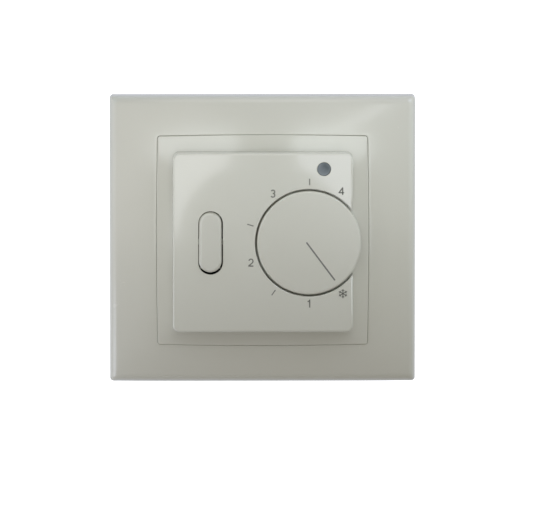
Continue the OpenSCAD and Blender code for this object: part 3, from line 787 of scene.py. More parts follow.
class Model:
    """A mesh that is being modelled face-on in millimetres."""

    def __init__(self) -> None:
        """Starts an empty mesh."""
        self.bm = bmesh.new()

    def _move(self, verts: Loop, outline: Outline, heights: Heights) -> Loop:
        """Moves vertices to an outline.

        Args:
            verts: The vertices in order.
            outline: Where they go.
            heights: Its height, or a function of a point that gives it.

        Returns:
            The same vertices.
        """
        for vert, (x, y) in zip(verts, outline):
            vert.co = (x, y, heights(x, y) if callable(heights) else heights)
        return verts

    def ring(self, outline: Outline, heights: Heights) -> Loop:
        """Starts a closed edge loop from a circle whose vertices are moved to an outline.

        Args:
            outline: The outline.
            heights: Its height, or a function of a point that gives it.

        Returns:
            The loop's vertices in order.
        """
        made = bmesh.ops.create_circle(self.bm, segments=len(outline), radius=1)["verts"]
        return self._move(list(made), outline, heights)

    def _edges(self, loop: Loop) -> list[bmesh.types.BMEdge]:
        """Gives the edges of a closed loop in order."""
        return [self.bm.edges.get(pair) for pair in zip(loop, loop[1:] + loop[:1])]

    def grow(self, loop: Loop, outline: Outline, heights: Heights) -> Loop:
        """Extrudes a closed loop to a new outline with as many points.

        Args:
            loop: The loop's vertices in order.
            outline: Where the new vertices go.
            heights: The new outline's height, or a function of a point that gives it.

        Returns:
            The new loop's vertices in order.
        """
        edges = self._edges(loop)
        made = set(bmesh.ops.extrude_edge_only(self.bm, edges=edges)["geom"])
        fresh = [next(e.other_vert(v) for e in v.link_edges if e.other_vert(v) in made) for v in loop]
        return self._move(fresh, outline, heights)

    def close(self, first: Loop, last: Loop) -> None:
        """Bridges the last loop of a hollow ring to its first.

        Args:
            first: The first loop.
            last: The last loop.
        """
        bmesh.ops.bridge_loops(self.bm, edges=self._edges(first) + self._edges(last))

    def cap(self, loop: Loop) -> None:
        """Closes a flat loop with one face."""
        bmesh.ops.contextual_create(self.bm, geom=loop)

    def lathe(self, profile: Outline, centre: Pair, steps: int = 128) -> None:
        """Turns a profile of (radius, height) points about an axis that stands on the face.

        Args:
            profile: The profile, from the axis or the bore's edge outwards and back.
            centre: Where the axis stands.
            steps: Number of steps of the turn.
        """
        verts = [self.bm.verts.new((centre[0] + r, centre[1], z)) for r, z in profile]
        edges = [self.bm.edges.new(pair) for pair in zip(verts, verts[1:])]
        bmesh.ops.spin(
            self.bm,
            geom=verts + edges,
            cent=(*centre, 0),
            axis=(0, 0, 1),
            angle=2 * math.pi,
            steps=steps,
            use_merge=True,
            use_duplicate=False,
        )
        bmesh.ops.remove_doubles(self.bm, verts=self.bm.verts, dist=1e-4)

    def tidy(self) -> None:
        """Merges doubles and turns the faces outwards."""
        bmesh.ops.remove_doubles(self.bm, verts=self.bm.verts, dist=1e-4)
        bmesh.ops.recalc_face_normals(self.bm, faces=self.bm.faces)


def add_object(name: str, data: bpy.types.ID) -> bpy.types.Object:
    """Adds an object to the scene.

    Args:
        name: Its name.
        data: Its mesh, light or camera.

    Returns:
        The object.
    """
    obj = bpy.data.objects.new(name, data)
    bpy.context.scene.collection.objects.link(obj)
    return obj


def smooth(mesh: bpy.types.Mesh, angle: float = 32.0) -> None:
    """Shades a mesh smooth apart from its sharp edges.

    Args:
        mesh: The mesh.
        angle: Edges sharper than this angle in degrees stay sharp.
    """
    mesh.shade_smooth()
    mesh.set_sharp_from_angle(angle=math.radians(angle))


def settle(
    obj: bpy.types.Object, material: bpy.types.Material, body: Body, slot: str, nodes: Iterable[str] = ()
) -> bpy.types.Object:
    """Gives a finished piece its material and body, and logs the slot of its finish.

    Args:
        obj: The piece, already in place.
        material: Its material.
        body: The body that it rides on.
        slot: The record's slot of its finish.
        nodes: The frame's nodes that it stands for.

    Returns:
        The piece.
    """
    obj.data.materials.clear()
    obj.data.materials.append(material)
    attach(obj, body.value)
    if nodes:
        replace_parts(obj, *nodes)
    LOG.info("%s rides on %s, finish %s", obj.name, body.value, slot)
    return obj


def stand_up(model: Model, name: str, pose: Matrix = Matrix()) -> bpy.types.Object:
    """Makes an object of a model and stands it on the wall.

    Args:
        model: The model, which is used up.
        name: The object's name.
        pose: A movement of the model before it is stood up.

    Returns:
        The object.
    """
    mesh = bpy.data.meshes.new(name)
    model.tidy()
    model.bm.to_mesh(mesh)
    model.bm.free()
    mesh.transform(FACE_ON @ pose)
    smooth(mesh)
    return add_object(name, mesh)


EdgeWeight = Callable[[Vector, Vector], float]


def add_round(obj: bpy.types.Object, attribute: str, width: float, segments: int, clamp: bool) -> None:
    """Rounds the edges that have a weight.

    Args:
        obj: The piece.
        attribute: Name of the edge attribute with the weights.
        width: Width of a full round in millimetres.
        segments: Number of segments of the round.
        clamp: Whether short neighbouring edges limit the width.
    """
    bevel = obj.modifiers.new(attribute, "BEVEL")
    bevel.limit_method = "WEIGHT"
    bevel.edge_weight = attribute
    bevel.width = width * MM
    bevel.segments = segments
    bevel.profile = 0.5
    bevel.material = -1
    bevel.use_clamp_overlap = clamp
    bevel.harden_normals = True


def softened(
    node: str, width: float, segments: int = 2, weight: Union[EdgeWeight, None] = None, crown: float = 0.0
) -> bpy.types.Object:
    """Makes a copy of a frame node whose hard edges are rounded.

    Args:
        node: The node.
        width: Width of the round along its edges in millimetres.
        segments: Number of segments of that round.
        weight: Share of the crown's width for an edge, from its two ends face-on in millimetres, or None.
        crown: Width of the larger round that the edges with a share get.

    Returns:
        The piece, which stands for the node.
    """
    bm = bmesh.new()
    bm.from_mesh(frame["nodes"][node].data)
    bmesh.ops.remove_doubles(bm, verts=bm.verts, dist=0.002 * MM)
    bmesh.ops.dissolve_limit(bm, angle_limit=math.radians(0.6), verts=bm.verts, edges=bm.edges)
    fine = bm.edges.layers.float.new("fine_edge")
    large = bm.edges.layers.float.new("crown_edge")
    back = FACE_ON.inverted()
    for edge in bm.edges:
        if len(edge.link_faces) == 2 and edge.calc_face_angle(0) > math.radians(30):
            edge[large] = weight(*(back @ v.co for v in edge.verts)) if weight else 0.0
            edge[fine] = 0.0 if edge[large] else 1.0
    mesh = bpy.data.meshes.new(f"{node}_moulded")
    bm.to_mesh(mesh)
    bm.free()
    obj = add_object(mesh.name, mesh)
    smooth(mesh)
    if weight:
        add_round(obj, "crown_edge", crown, 5, False)
    add_round(obj, "fine_edge", width, segments, True)
    return settle(obj, PALETTE.get(SLOT_OF[node]), BODY_OF[node], SLOT_OF[node], (node,))


def face_box(node: str) -> tuple[Vector, Vector]:
    """Gives a node's box face-on in millimetres.

    Args:
        node: The node.

    Returns:
        Its lowest and highest corners.
    """
    low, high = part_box(node)
    return Vector((low.x, low.z, -high.y)) / MM, Vector((high.x, high.z, -low.y)) / MM


# ---------------------------------------------------------------------------------------- frame and its ring


@dataclass
class Surround:
    """The outer frame, a soft cushion with a square opening, and the adapter ring in it.

    Attributes:
        crest: Height of the cushion beside the opening.
        edge: Height of the cushion's outer edge.
        wall: Thickness of the frame's walls.
        edge_round: Radius along the outer edge.
        corner: Radius of the outer corners.
        lip: Width of the lip that the ring lies on.
        lip_thick: Thickness of that lip.
        opening_gap: Gap between the frame and the ring, as narrow as it looks from outside.
        opening_round: Radius of the opening's edge.
        ring_round: Radius of the ring's outer edge.
        cover_gap: Gap between the ring and the cover.
        bow: How far the ring's sides bow outwards.
        ring_rise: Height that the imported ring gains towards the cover.
        ring_swell: Height that the moulded ring gains towards the cover.
        ring_wall: Thickness of the ring's walls.
        ledge: Width of the ring's inner ledge.
        mitre_blend: Height over which the four faces of the cushion melt into each other.
        roof_blend: Width over which the four faces of the ring's roof melt into each other.
        fit_gap: Gap between the frame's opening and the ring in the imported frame.
        mouth: Corner radius of the frame's opening.
        inner_corner: Corner radius inside the frame's walls.
        ring_corner: Corner radius inside the ring.
    """

    crest: float = 9.5
    edge: float = 7.2
    wall: float = 1.6
    edge_round: float = 2.6
    corner: float = 1.0
    lip: float = 2.2
    lip_thick: float = 2.0
    opening_gap: float = 0.06
    opening_round: float = 0.24
    ring_round: float = 0.12
    cover_gap: float = 0.015
    bow: float = 0.35
    ring_rise: float = 0.9
    ring_swell: float = 0.5
    ring_wall: float = 1.2
    ledge: float = 1.9
    mitre_blend: float = 0.9
    roof_blend: float = 1.2
    fit_gap: float = 0.2
    mouth: float = 0.8
    inner_corner: float = 0.6
    ring_corner: float = 0.5
    half_w: float = field(init=False)
    half_h: float = field(init=False)
    opening: float = field(init=False)
    ring_low: float = field(init=False)
    ring_edge: float = field(init=False)
    ring_top: float = field(init=False)
    ring_inner: float = field(init=False)

    def __post_init__(self) -> None:
        """Reads the overall sizes from the frame's nodes."""
        _, high = face_box("outer_frame")
        self.half_w, self.half_h = high.x, high.y
        low, high = face_box("adapter_ring")
        self.opening = high.x - self.bow + self.fit_gap
        self.ring_low, self.ring_top = low.z, high.z
        self.ring_edge = self.ring_top - self.ring_rise
        self.ring_inner = face_box("front_cover")[1].x + self.cover_gap

    def _arch(self, half: float, at: float) -> float:
        """Gives the cushion's height along one direction.

        Args:
            half: Half size of the frame in that direction.
            at: Distance from the centre.

        Returns:
            The height.
        """
        near = self.opening - 0.6
        centre = (near**2 + self.crest**2 - half**2 - self.edge**2) / (2 * (self.crest - self.edge))
        return centre + math.sqrt(half**2 + (self.edge - centre) ** 2 - at**2)

    def cushion(self, x: float, y: float) -> float:
        """Gives the cushion's height, with soft mitres.

        Args:
            x: Place across.
            y: Place up.

        Returns:
            The height.
        """
        a, b = self._arch(self.half_w, abs(x)), self._arch(self.half_h, abs(y))
        low, gap, k = min(a, b), abs(a - b), self.mitre_blend
        return low - k * math.log1p(math.exp(-gap / k))

    def _between(self, share: float, inset: float) -> Outline:
        """Gives an outline between the opening and the outer edge.

        Args:
            share: 0 at the opening, 1 at the inset outer edge.
            inset: How far the outer edge is moved inwards.

        Returns:
            The outline.
        """
        inner = square(self.opening, self.mouth, self.bow)
        outer = pillow_square(self.half_w - inset, self.half_h - inset, max(self.corner, 0.3))
        return [(a + (c - a) * share, b + (d - b) * share) for (a, b), (c, d) in zip(inner, outer)]

    def build_frame(self) -> None:
        """Builds the outer frame."""
        m = Model()
        rings, steps = 14, 6
        tilt = 73.0
        reach = self.edge_round * (1 - math.cos(math.radians(tilt)))
        lip_top = self.ring_low
        lip_low = lip_top - self.lip_thick

        def opening(grow: float) -> Outline:
            """Gives the opening's outline, moved outwards."""
            return square(self.opening + grow, self.mouth, self.bow)

        def lowered(drop: float) -> Height:
            """Gives the cushion's height less a drop, as a function of a point."""
            return lambda x, y: self.cushion(x, y) - drop

        first = loop = m.ring(square(self.opening - self.lip, self.mouth), lip_low)
        loop = m.grow(loop, square(self.opening - self.lip, self.mouth), lip_top)
        loop = m.grow(loop, opening(0), lip_top)
        soft = self.opening_round
        loop = m.grow(loop, opening(0), lowered(soft))
        for i in range(1, 5):
            a = math.radians(90 * i / 4)
            loop = m.grow(loop, opening(soft * (1 - math.cos(a))), lowered(soft * (1 - math.sin(a))))
        for i in range(1, rings + 1):
            share = i / rings
            loop = m.grow(loop, self._between(0.03 + 0.97 * share, reach), self.cushion)
        for i in range(1, steps + 1):
            a = math.radians(tilt * (1 - i / steps))
            drop = self.edge_round * (math.sin(math.radians(tilt)) - math.sin(a))
            outline = pillow_square(
                self.half_w - self.edge_round * (1 - math.cos(a)),
                self.half_h - self.edge_round * (1 - math.cos(a)),
                self.corner,
            )
            loop = m.grow(loop, outline, self._rim_height(reach, drop))
        rim = 0.3
        outside = pillow_square(self.half_w, self.half_h, self.corner)
        loop = m.grow(loop, outside, rim)
        loop = m.grow(loop, pillow_square(self.half_w - rim, self.half_h - rim, self.corner), 0)
        inside = (self.half_w - self.wall, self.half_h - self.wall)
        loop = m.grow(loop, pillow_square(*inside, self.inner_corner), 0)
        loop = m.grow(loop, pillow_square(*inside, self.inner_corner), lowered(self.wall))
        chute = self.opening + self.wall
        for share in (0.66, 0.33):
            half = [chute + (side - chute) * share for side in inside]
            loop = m.grow(loop, pillow_square(*half, self.inner_corner), lowered(self.wall))
        loop = m.grow(loop, square(chute, self.inner_corner), lowered(self.wall))
        plate = face_box("support_plate")[1].z
        loop = m.grow(loop, square(chute, self.inner_corner), plate)
        loop = m.grow(loop, opening(0), plate)
        loop = m.grow(loop, opening(0), lip_low)
        m.close(first, loop)
        obj = stand_up(m, "frame_cushion")
        settle(obj, PALETTE.get("frame_plastic"), Body.HOUSING, "frame_plastic", ("outer_frame",))

    def _rim_height(self, reach: float, drop: float) -> Height:
        """Gives the height of the outer round, which follows the cushion's edge.

        Args:
            reach: How far inside the outer edge the round starts.
            drop: How far below its start the height lies.

        Returns:
            A function of a point.
        """

        def height(x: float, y: float) -> float:
            """Gives the height over the nearest start of the round."""
            near_x = max(-self.half_w + reach, min(self.half_w - reach, x))
            near_y = max(-self.half_h + reach, min(self.half_h - reach, y))
            return self.cushion(near_x, near_y) - drop

        return height

    def _roof(self, x: float, y: float) -> float:
        """Gives the height of the ring's roof, which rises towards the cover."""
        far = self.opening - self.opening_gap + self.bow
        low, high = sorted((abs(x), abs(y)))
        out = high + self.roof_blend * math.log1p(math.exp((low - high) / self.roof_blend))
        share = (far - out) / (far - self.ring_inner)
        return self.ring_edge + self.ring_swell * min(max(share, 0.0), 1.0)

    def build_ring(self) -> None:
        """Builds the adapter ring."""
        m = Model()
        outer = self.opening - self.opening_gap
        round_r = self.ring_round
        cover_r = 1.9

        def outside(inset: float) -> Outline:
            """Gives the ring's outer outline, moved inwards."""
            return square(outer - inset, 0.7, self.bow)

        def inside(grow: float) -> Outline:
            """Gives the outline around the cover, moved outwards."""
            return square(self.ring_inner + grow, cover_r + grow)

        def sunk(drop: float) -> Height:
            """Gives the roof's height less a drop, as a function of a point."""
            return lambda x, y: self._roof(x, y) - drop

        first = loop = m.ring(outside(0), self.ring_low)
        loop = m.grow(loop, outside(0), sunk(round_r))
        for i in range(1, 5):
            a = math.radians(90 * i / 4)
            loop = m.grow(loop, outside(round_r * (1 - math.cos(a))), sunk(round_r * (1 - math.sin(a))))
        far, near = outside(round_r), inside(0)
        for i in range(1, 9):
            share = i / 8
            outline = [(a + (c - a) * share, b + (d - b) * share) for (a, b), (c, d) in zip(far, near)]
            loop = m.grow(loop, outline, self._roof)
        shelf = face_box("front_cover")[0].z
        ledge = self.ring_inner - self.ledge
        loop = m.grow(loop, inside(0), shelf)
        loop = m.grow(loop, square(ledge, self.ring_corner), shelf)
        loop = m.grow(loop, square(ledge, self.ring_corner), self.ring_low)
        groove = self.ring_inner + self.ring_wall - self.cover_gap
        loop = m.grow(loop, square(groove, self.ring_corner), self.ring_low)
        loop = m.grow(loop, square(groove, self.ring_corner), self.ring_edge - self.ring_wall)
        hollow = outer - self.ring_wall
        loop = m.grow(loop, square(hollow, self.ring_corner), self.ring_edge - self.ring_wall)
        loop = m.grow(loop, square(hollow, self.ring_corner), self.ring_low)
        m.close(first, loop)
        obj = stand_up(m, "adapter_ring_moulded")
        finish = PALETTE.get("ring_gloss", Palette.RING)
        settle(obj, finish, Body.HOUSING, "frame_plastic", ("adapter_ring",))


# ------------------------------------------------------------------------------------- cover, scale and lens

INK_PROUD = 0.012


def add_bar(m: Model, start: Pair, end: Pair, width: float, base: Triple = (0, 0, 0)) -> None:
    """Adds a thin printed bar.

    Args:
        m: The model that gets it.
        start: One end of its middle line.
        end: The other end.
        width: Its width.
        base: Where its plane's origin lies.
    """
    run = Vector(end) - Vector(start)
    mid = (Vector(start) + Vector(end)) / 2
    turn = Matrix.Rotation(math.atan2(run.y, run.x), 4, "Z")
    size = Matrix.Diagonal((run.length, width, 2 * INK_PROUD, 1))
    place = Matrix.Translation((base[0] + mid.x, base[1] + mid.y, base[2]))
    bmesh.ops.create_cube(m.bm, size=1, matrix=place @ turn @ size)


class Mark(Enum):
    """What is printed at a place on the scale."""

    ONE = "1"
    TWO = "2"
    THREE = "3"
    FOUR = "4"
    TICK = "tick"
    FROST = "frost"


@dataclass
class Cover:
    """The centre cover with its printed scale and its indicator lens.

    Attributes:
        face_round: Radius along the cover's face.
        hole_round: Radius of the chamfer around the rocker's hole.
        scale_r: Distance of the printed marks from the dial's axis.
        digit_h: Height of the digits.
        digit_w: Width of the digits' strokes.
        tick_len: Length of the marks between the digits.
        ink_w: Width of the marks' line.
        marks: Each mark's angle from straight down, clockwise, in degrees.
    """

    face_round: float = 0.6
    hole_round: float = 0.15
    scale_r: float = 17.05
    digit_h: float = 2.1
    digit_w: float = 0.34
    tick_len: float = 1.8
    ink_w: float = 0.3
    marks: tuple[tuple[Mark, float], ...] = (
        (Mark.FROST, -33.5),
        (Mark.ONE, 0.0),
        (Mark.TICK, 35.4),
        (Mark.TWO, 71.2),
        (Mark.TICK, 107.0),
        (Mark.THREE, 144.0),
        (Mark.TICK, 180.5),
        (Mark.FOUR, 212.0),
    )

    def __post_init__(self) -> None:
        """Reads the places of the face, the dial, the key and the lens from the frame's nodes."""
        self.half = face_box("front_cover")[1].x
        self.face = face_box("front_cover")[1].z
        low, high = face_box("setting_dial")
        self.axis = (low + high) / 2
        self.dial_r = (high.x - low.x) / 2
        low, high = face_box("rocker_key")
        self.key = (low + high) / 2
        low, high = face_box("led_lens")
        self.lens = (low + high) / 2
        self.lens_top = high.z

    def _edge_weight(self, a: Vector, b: Vector) -> float:
        """Gives the share of the face's round that an edge of the cover gets.

        Args:
            a: One end of the edge.
            b: Its other end.

        Returns:
            The share.
        """
        middle = (a + b) / 2
        if min(a.z, b.z) < self.face - 0.01:
            return 0.0
        if (middle - self.axis).xy.length < self.dial_r + 1.2:
            return 0.25
        if (middle - self.lens).xy.length < 3:
            return 0.3
        if abs(middle.x - self.key.x) < 5 and abs(middle.y) < 10:
            return self.hole_round / self.face_round
        return 1.0

    def build_cover(self) -> None:
        """Builds the centre cover."""
        softened("front_cover", 0.1, 2, self._edge_weight, self.face_round)

    def _digit(self, m: Model, mark: Mark) -> None:
        """Adds a digit made of pen strokes on a grid that is one digit high.

        Args:
            m: The model that gets it.
            mark: The digit.
        """
        strokes: dict[Mark, tuple[Outline, ...]] = {
            Mark.ONE: ([(-0.2, 0.27), (0.0, 0.36), (0.08, 0.5), (0.08, -0.5)],),
            Mark.TWO: (
                arc((0, 0.2), 0.27, 170, -30, 10)
                + [(0.1, -0.12), (-0.17, -0.32), (-0.3, -0.46), (0.32, -0.46)],
            ),
            Mark.THREE: (
                arc((-0.01, 0.235), 0.235, 155, -60, 9) + [(-0.03, 0.03)],
                [(-0.03, 0.03)] + arc((-0.01, -0.215), 0.255, 70, -158, 10),
            ),
            Mark.FOUR: ([(0.13, -0.5), (0.13, 0.46), (-0.34, -0.2), (0.34, -0.2)],),
        }
        for stroke in strokes[mark]:
            self._stroke(m, [(x * self.digit_h, y * self.digit_h) for x, y in stroke], self.digit_w)

    def _stroke(self, m: Model, path: Outline, width: float) -> None:
        """Adds a thin printed line along a path, with round joints.

        Args:
            m: The model that gets it.
            path: The path's points.
            width: The line's width.
        """
        for start, end in zip(path, path[1:]):
            add_bar(m, start, end, width)
        for x, y in path[1:-1]:
            bmesh.ops.create_cone(
                m.bm,
                cap_ends=True,
                segments=12,
                radius1=width / 2,
                radius2=width / 2,
                depth=1.8 * INK_PROUD,
                matrix=Matrix.Translation((x, y, 0)),
            )

    def _frost(self, m: Model) -> None:
        """Adds the frost sign, a star of six barbed arms."""
        arm, barb, width = 1.3, 0.48, 0.26
        fork, spread = 0.7, math.radians(52)
        for i in range(6):
            a = math.radians(30 + 60 * i)
            tip = (arm * math.cos(a), arm * math.sin(a))
            add_bar(m, (0, 0), tip, width)
            root = (fork * math.cos(a), fork * math.sin(a))
            for side in (-1, 1):
                b = a + side * spread
                end = (root[0] + barb * math.cos(b), root[1] + barb * math.sin(b))
                add_bar(m, root, end, width * 0.8)

    def build_scale(self) -> None:
        """Prints the digits, the marks and the frost sign on the face."""
        for index, (mark, degrees) in enumerate(self.marks):
            a = math.radians(degrees)
            spot = (self.axis.x - self.scale_r * math.sin(a), self.axis.y - self.scale_r * math.cos(a))
            m = Model()
            if mark is Mark.TICK:
                half = self.tick_len / 2
                toward = (-math.sin(a) * half, -math.cos(a) * half)
                add_bar(m, (-toward[0], -toward[1]), toward, self.ink_w)
            elif mark is Mark.FROST:
                self._frost(m)
            else:
                self._digit(m, mark)
            lift = Matrix.Translation((*spot, self.face))
            obj = stand_up(m, f"scale_{mark.name.lower()}_{index}", lift)
            settle(obj, PALETTE.get("scale_ink", Palette.INK), Body.HOUSING, "cover_plastic")

    def build_lens(self) -> None:
        """Builds the indicator's light guide, a recessed dish on a stem."""
        low, high = face_box("led_lens")
        flange = (high.x - low.x) / 2
        guide = flange - 0.6
        top, shelf = self.lens_top, self.face - 2.8
        stem, flange_t, hollow = 1.1, 1.0, 0.16
        bend = math.pi / 2 / 6
        dish = [(guide - 0.12 - i * 0.28, top - 0.02 - hollow * math.sin(bend * i)) for i in range(6)]
        profile = [(0, top - 0.02 - hollow), *reversed(dish), (guide - 0.05, top), (guide, top - 0.08)]
        profile += [(guide, shelf + flange_t), (flange, shelf + flange_t), (flange, shelf)]
        profile += [(stem, shelf), (stem, low.z), (0, low.z)]
        m = Model()
        m.lathe(profile, (self.lens.x, self.lens.y), 64)
        # The guide's finish paints its middle darker and its rim lighter: painted shade and sheen.
        finish = Tinted((0.3, 0.34, 0.36), (0.1, 0.125, 0.14), (self.lens.x, 0, self.lens.y), guide)
        obj = stand_up(m, "indicator_light_guide")
        settle(obj, PALETTE.get("lens_plastic", finish), Body.HOUSING, "lens_plastic", ("led_lens",))


# ---------------------------------------------------------------------------------------------- dial and key


@dataclass
class Dial:
    """The setting dial: a flat cap with a soft edge, its hub, and a printed pointer.

    Attributes:
        edge: Radius of the soft edge.
        face_t: Thickness of the cap's face.
        rim_t: Thickness of its rim.
        hub_r: Radius of the hub.
        bore_r: Radius of the hub's bore.
        pointer_from: Start of the pointer, from the axis.
        pointer_to: Its end.
        pointer_w: Its width.
    """

    edge: float = 0.45
    face_t: float = 1.5
    rim_t: float = 1.5
    hub_r: float = 5.0
    bore_r: float = 3.0
    pointer_from: Pair = (-0.75, 0.15)
    pointer_to: Pair = (7.2, -10.5)
    pointer_w: float = 0.42

    def __post_init__(self) -> None:
        """Reads the dial's place from the frame."""
        self.low, self.high = face_box("setting_dial")
        self.axis = ((self.low.x + self.high.x) / 2, (self.low.y + self.high.y) / 2)
        self.radius = (self.high.x - self.low.x) / 2

    def build_dial(self) -> None:
        """Builds the cap and its hub."""
        top, r, e = self.high.z, self.radius, self.edge
        under = top - self.face_t
        base = top - 2.9
        soft = arc((r - e, top - e), e, 90, 0, 6)
        foot = 0.2
        profile = [(0, top), (r - 6, top), (r - 2, top), (r - e - 0.2, top), *soft]
        inner = r - self.rim_t
        profile += [(r, base + foot), (r - foot, base), (inner + foot, base), (inner, base + foot)]
        profile += [(inner, under), (self.hub_r, under), (self.hub_r, self.low.z)]
        profile += [(self.bore_r, self.low.z), (self.bore_r, under), (0, under)]
        m = Model()
        m.lathe(profile, self.axis, 160)
        obj = stand_up(m, "dial_cap")
        settle(obj, PALETTE.get("dial_plastic"), Body.DIAL, "dial_plastic", ("setting_dial",))

    def build_pointer(self) -> None:
        """Prints the pointer on the cap."""
        m = Model()
        add_bar(m, self.pointer_from, self.pointer_to, self.pointer_w, (*self.axis, self.high.z))
        sides = [e for e in m.bm.edges if abs(e.verts[0].co.z - e.verts[1].co.z) > INK_PROUD]
        soft = self.pointer_w * 0.3
        bmesh.ops.bevel(m.bm, geom=sides, offset=soft, affect="EDGES", segments=3, profile=0.5, material=-1)
        obj = stand_up(m, "dial_pointer")
        settle(obj, PALETTE.get("pointer_ink", Palette.THIN_INK), Body.DIAL, "dial_plastic")


@dataclass
class Rocker:
    """The on-off key, whose face has a full soft edge.

    Attributes:
        edge: Radius of the key's edge.
        tilt: Tilt of the key at rest in degrees.
        pivot: Height of the key's pin.
        swell: How far the moulded key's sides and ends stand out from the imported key's.
        shift: How far the key sits off the middle of its hole.
    """

    edge: float = 0.9
    tilt: float = 4.0
    pivot: float = 12.0
    swell: Pair = (0.11, 0.0)
    shift: float = -0.1

    def _edge_weight(self, a: Vector, b: Vector) -> float:
        """Gives the share of the key's round that an edge gets: all of it around the face.

        Args:
            a: One end of the edge.
            b: Its other end.

        Returns:
            The share.
        """
        back = Matrix.Rotation(math.radians(self.tilt), 3, "X")
        heights = [(back @ Vector((p.x, p.y, p.z - self.pivot))).z + self.pivot for p in (a, b)]
        return 1.0 if min(heights) > self.face_height - 0.05 else 0.0

    def build_key(self) -> None:
        """Builds the key."""
        low, high = face_box("rocker_key")
        half = (high.y - low.y) / 2
        self.face_height = high.z - half * math.sin(math.radians(self.tilt))
        key = softened("rocker_key", 0.1, 2, self._edge_weight, self.edge)
        key.data.materials[0] = PALETTE.get("key_gloss", Palette.KEY)
        middle = (low + high) / 2
        wide, long = (high - low).xy / 2
        grow = Matrix.Diagonal((1 + self.swell[0] / wide, 1 + self.swell[1] / long, 1, 1))
        about = Matrix.Translation((middle.x, middle.y, 0))
        slide = Matrix.Translation((self.shift, 0, 0))
        key.data.transform(FACE_ON @ slide @ about @ grow @ about.inverted() @ FACE_ON.inverted())


# --------------------------------------------------------------------------------------- wall and inner parts


@dataclass
class WallPart:
    """The steel plate, the housing in the wall box and its terminals.

    Attributes:
        edges: Each node with the width and the number of segments of its softened edges.
    """

    edges: tuple[tuple[str, float, int], ...] = (
        ("support_plate", 0.18, 2),
        ("rear_housing", 0.5, 3),
        ("terminal_block", 0.2, 2),
        ("front_housing", 0.25, 2),
        ("terminal_clamps", 0.08, 2),
        ("terminal_screws", 0.06, 2),
        ("housing_screws", 0.1, 2),
    )

    def build(self) -> None:
        """Builds every piece."""
        for node, width, segments in self.edges:
            softened(node, width, segments)


@dataclass
class InnerParts:
    """Everything that the casings hide, each with the edges of how it is made.

    Attributes:
        width: Width of a softened edge.
        plain: Nodes that are round wire or already soft, and keep the frame's mesh.
    """

    width: float = 0.1
    plain: tuple[str, ...] = ("rocker_spring", "rocker_plunger")

    def build(self, done: set[str]) -> None:
        """Dresses the nodes that no other class has built.

        Args:
            done: Nodes that other pieces stand for.
        """
        for node, obj in frame["nodes"].items():
            if node in done:
                continue
            if node in self.plain:
                obj.data.materials.clear()
                obj.data.materials.append(PALETTE.get(SLOT_OF[node]))
                LOG.info("%s keeps its mesh, finish %s", node, SLOT_OF[node])
            else:
                softened(node, self.width)


# ----------------------------------------------------------------------------------------------------- studio


@dataclass(frozen=True)
class Softbox:
    """A flat studio light, round or a strip, that points at a spot.

    Attributes:
        name: Its name.
        place: Its place face-on in millimetres.
        size: Its diameter, or a strip's length and width, in millimetres.
        radiance: Its radiance in each colour.
        aim: The spot that it points at.
        roll: Turn of a strip about its own axis in degrees.
    """

    name: str
    place: Triple
    size: Pair
    radiance: Colour
    aim: Triple = (0, 0, 8)
    roll: float = 0.0

    def hang(self) -> None:
        """Adds the light."""
        data = bpy.data.lights.new(self.name, "AREA")
        data.shape = "ELLIPSE" if self.size[0] == self.size[1] else "RECTANGLE"
        data.size, data.size_y = (s * MM for s in self.size)
        area = data.size * data.size_y * (math.pi / 4 if data.shape == "ELLIPSE" else 1)
        peak = max(self.radiance)
        data.energy = peak * math.pi * area
        data.color = tuple(c / peak for c in self.radiance)
        light = add_object(self.name, data)
        place = FACE_ON @ Vector(self.place)
        turn = (FACE_ON @ Vector(self.aim) - place).to_track_quat("-Z", "Y").to_matrix().to_4x4()
        roll = Matrix.Rotation(math.radians(self.roll), 4, "Z")
        light.matrix_world = Matrix.Translation(place) @ turn @ roll
        light.visible_camera = False


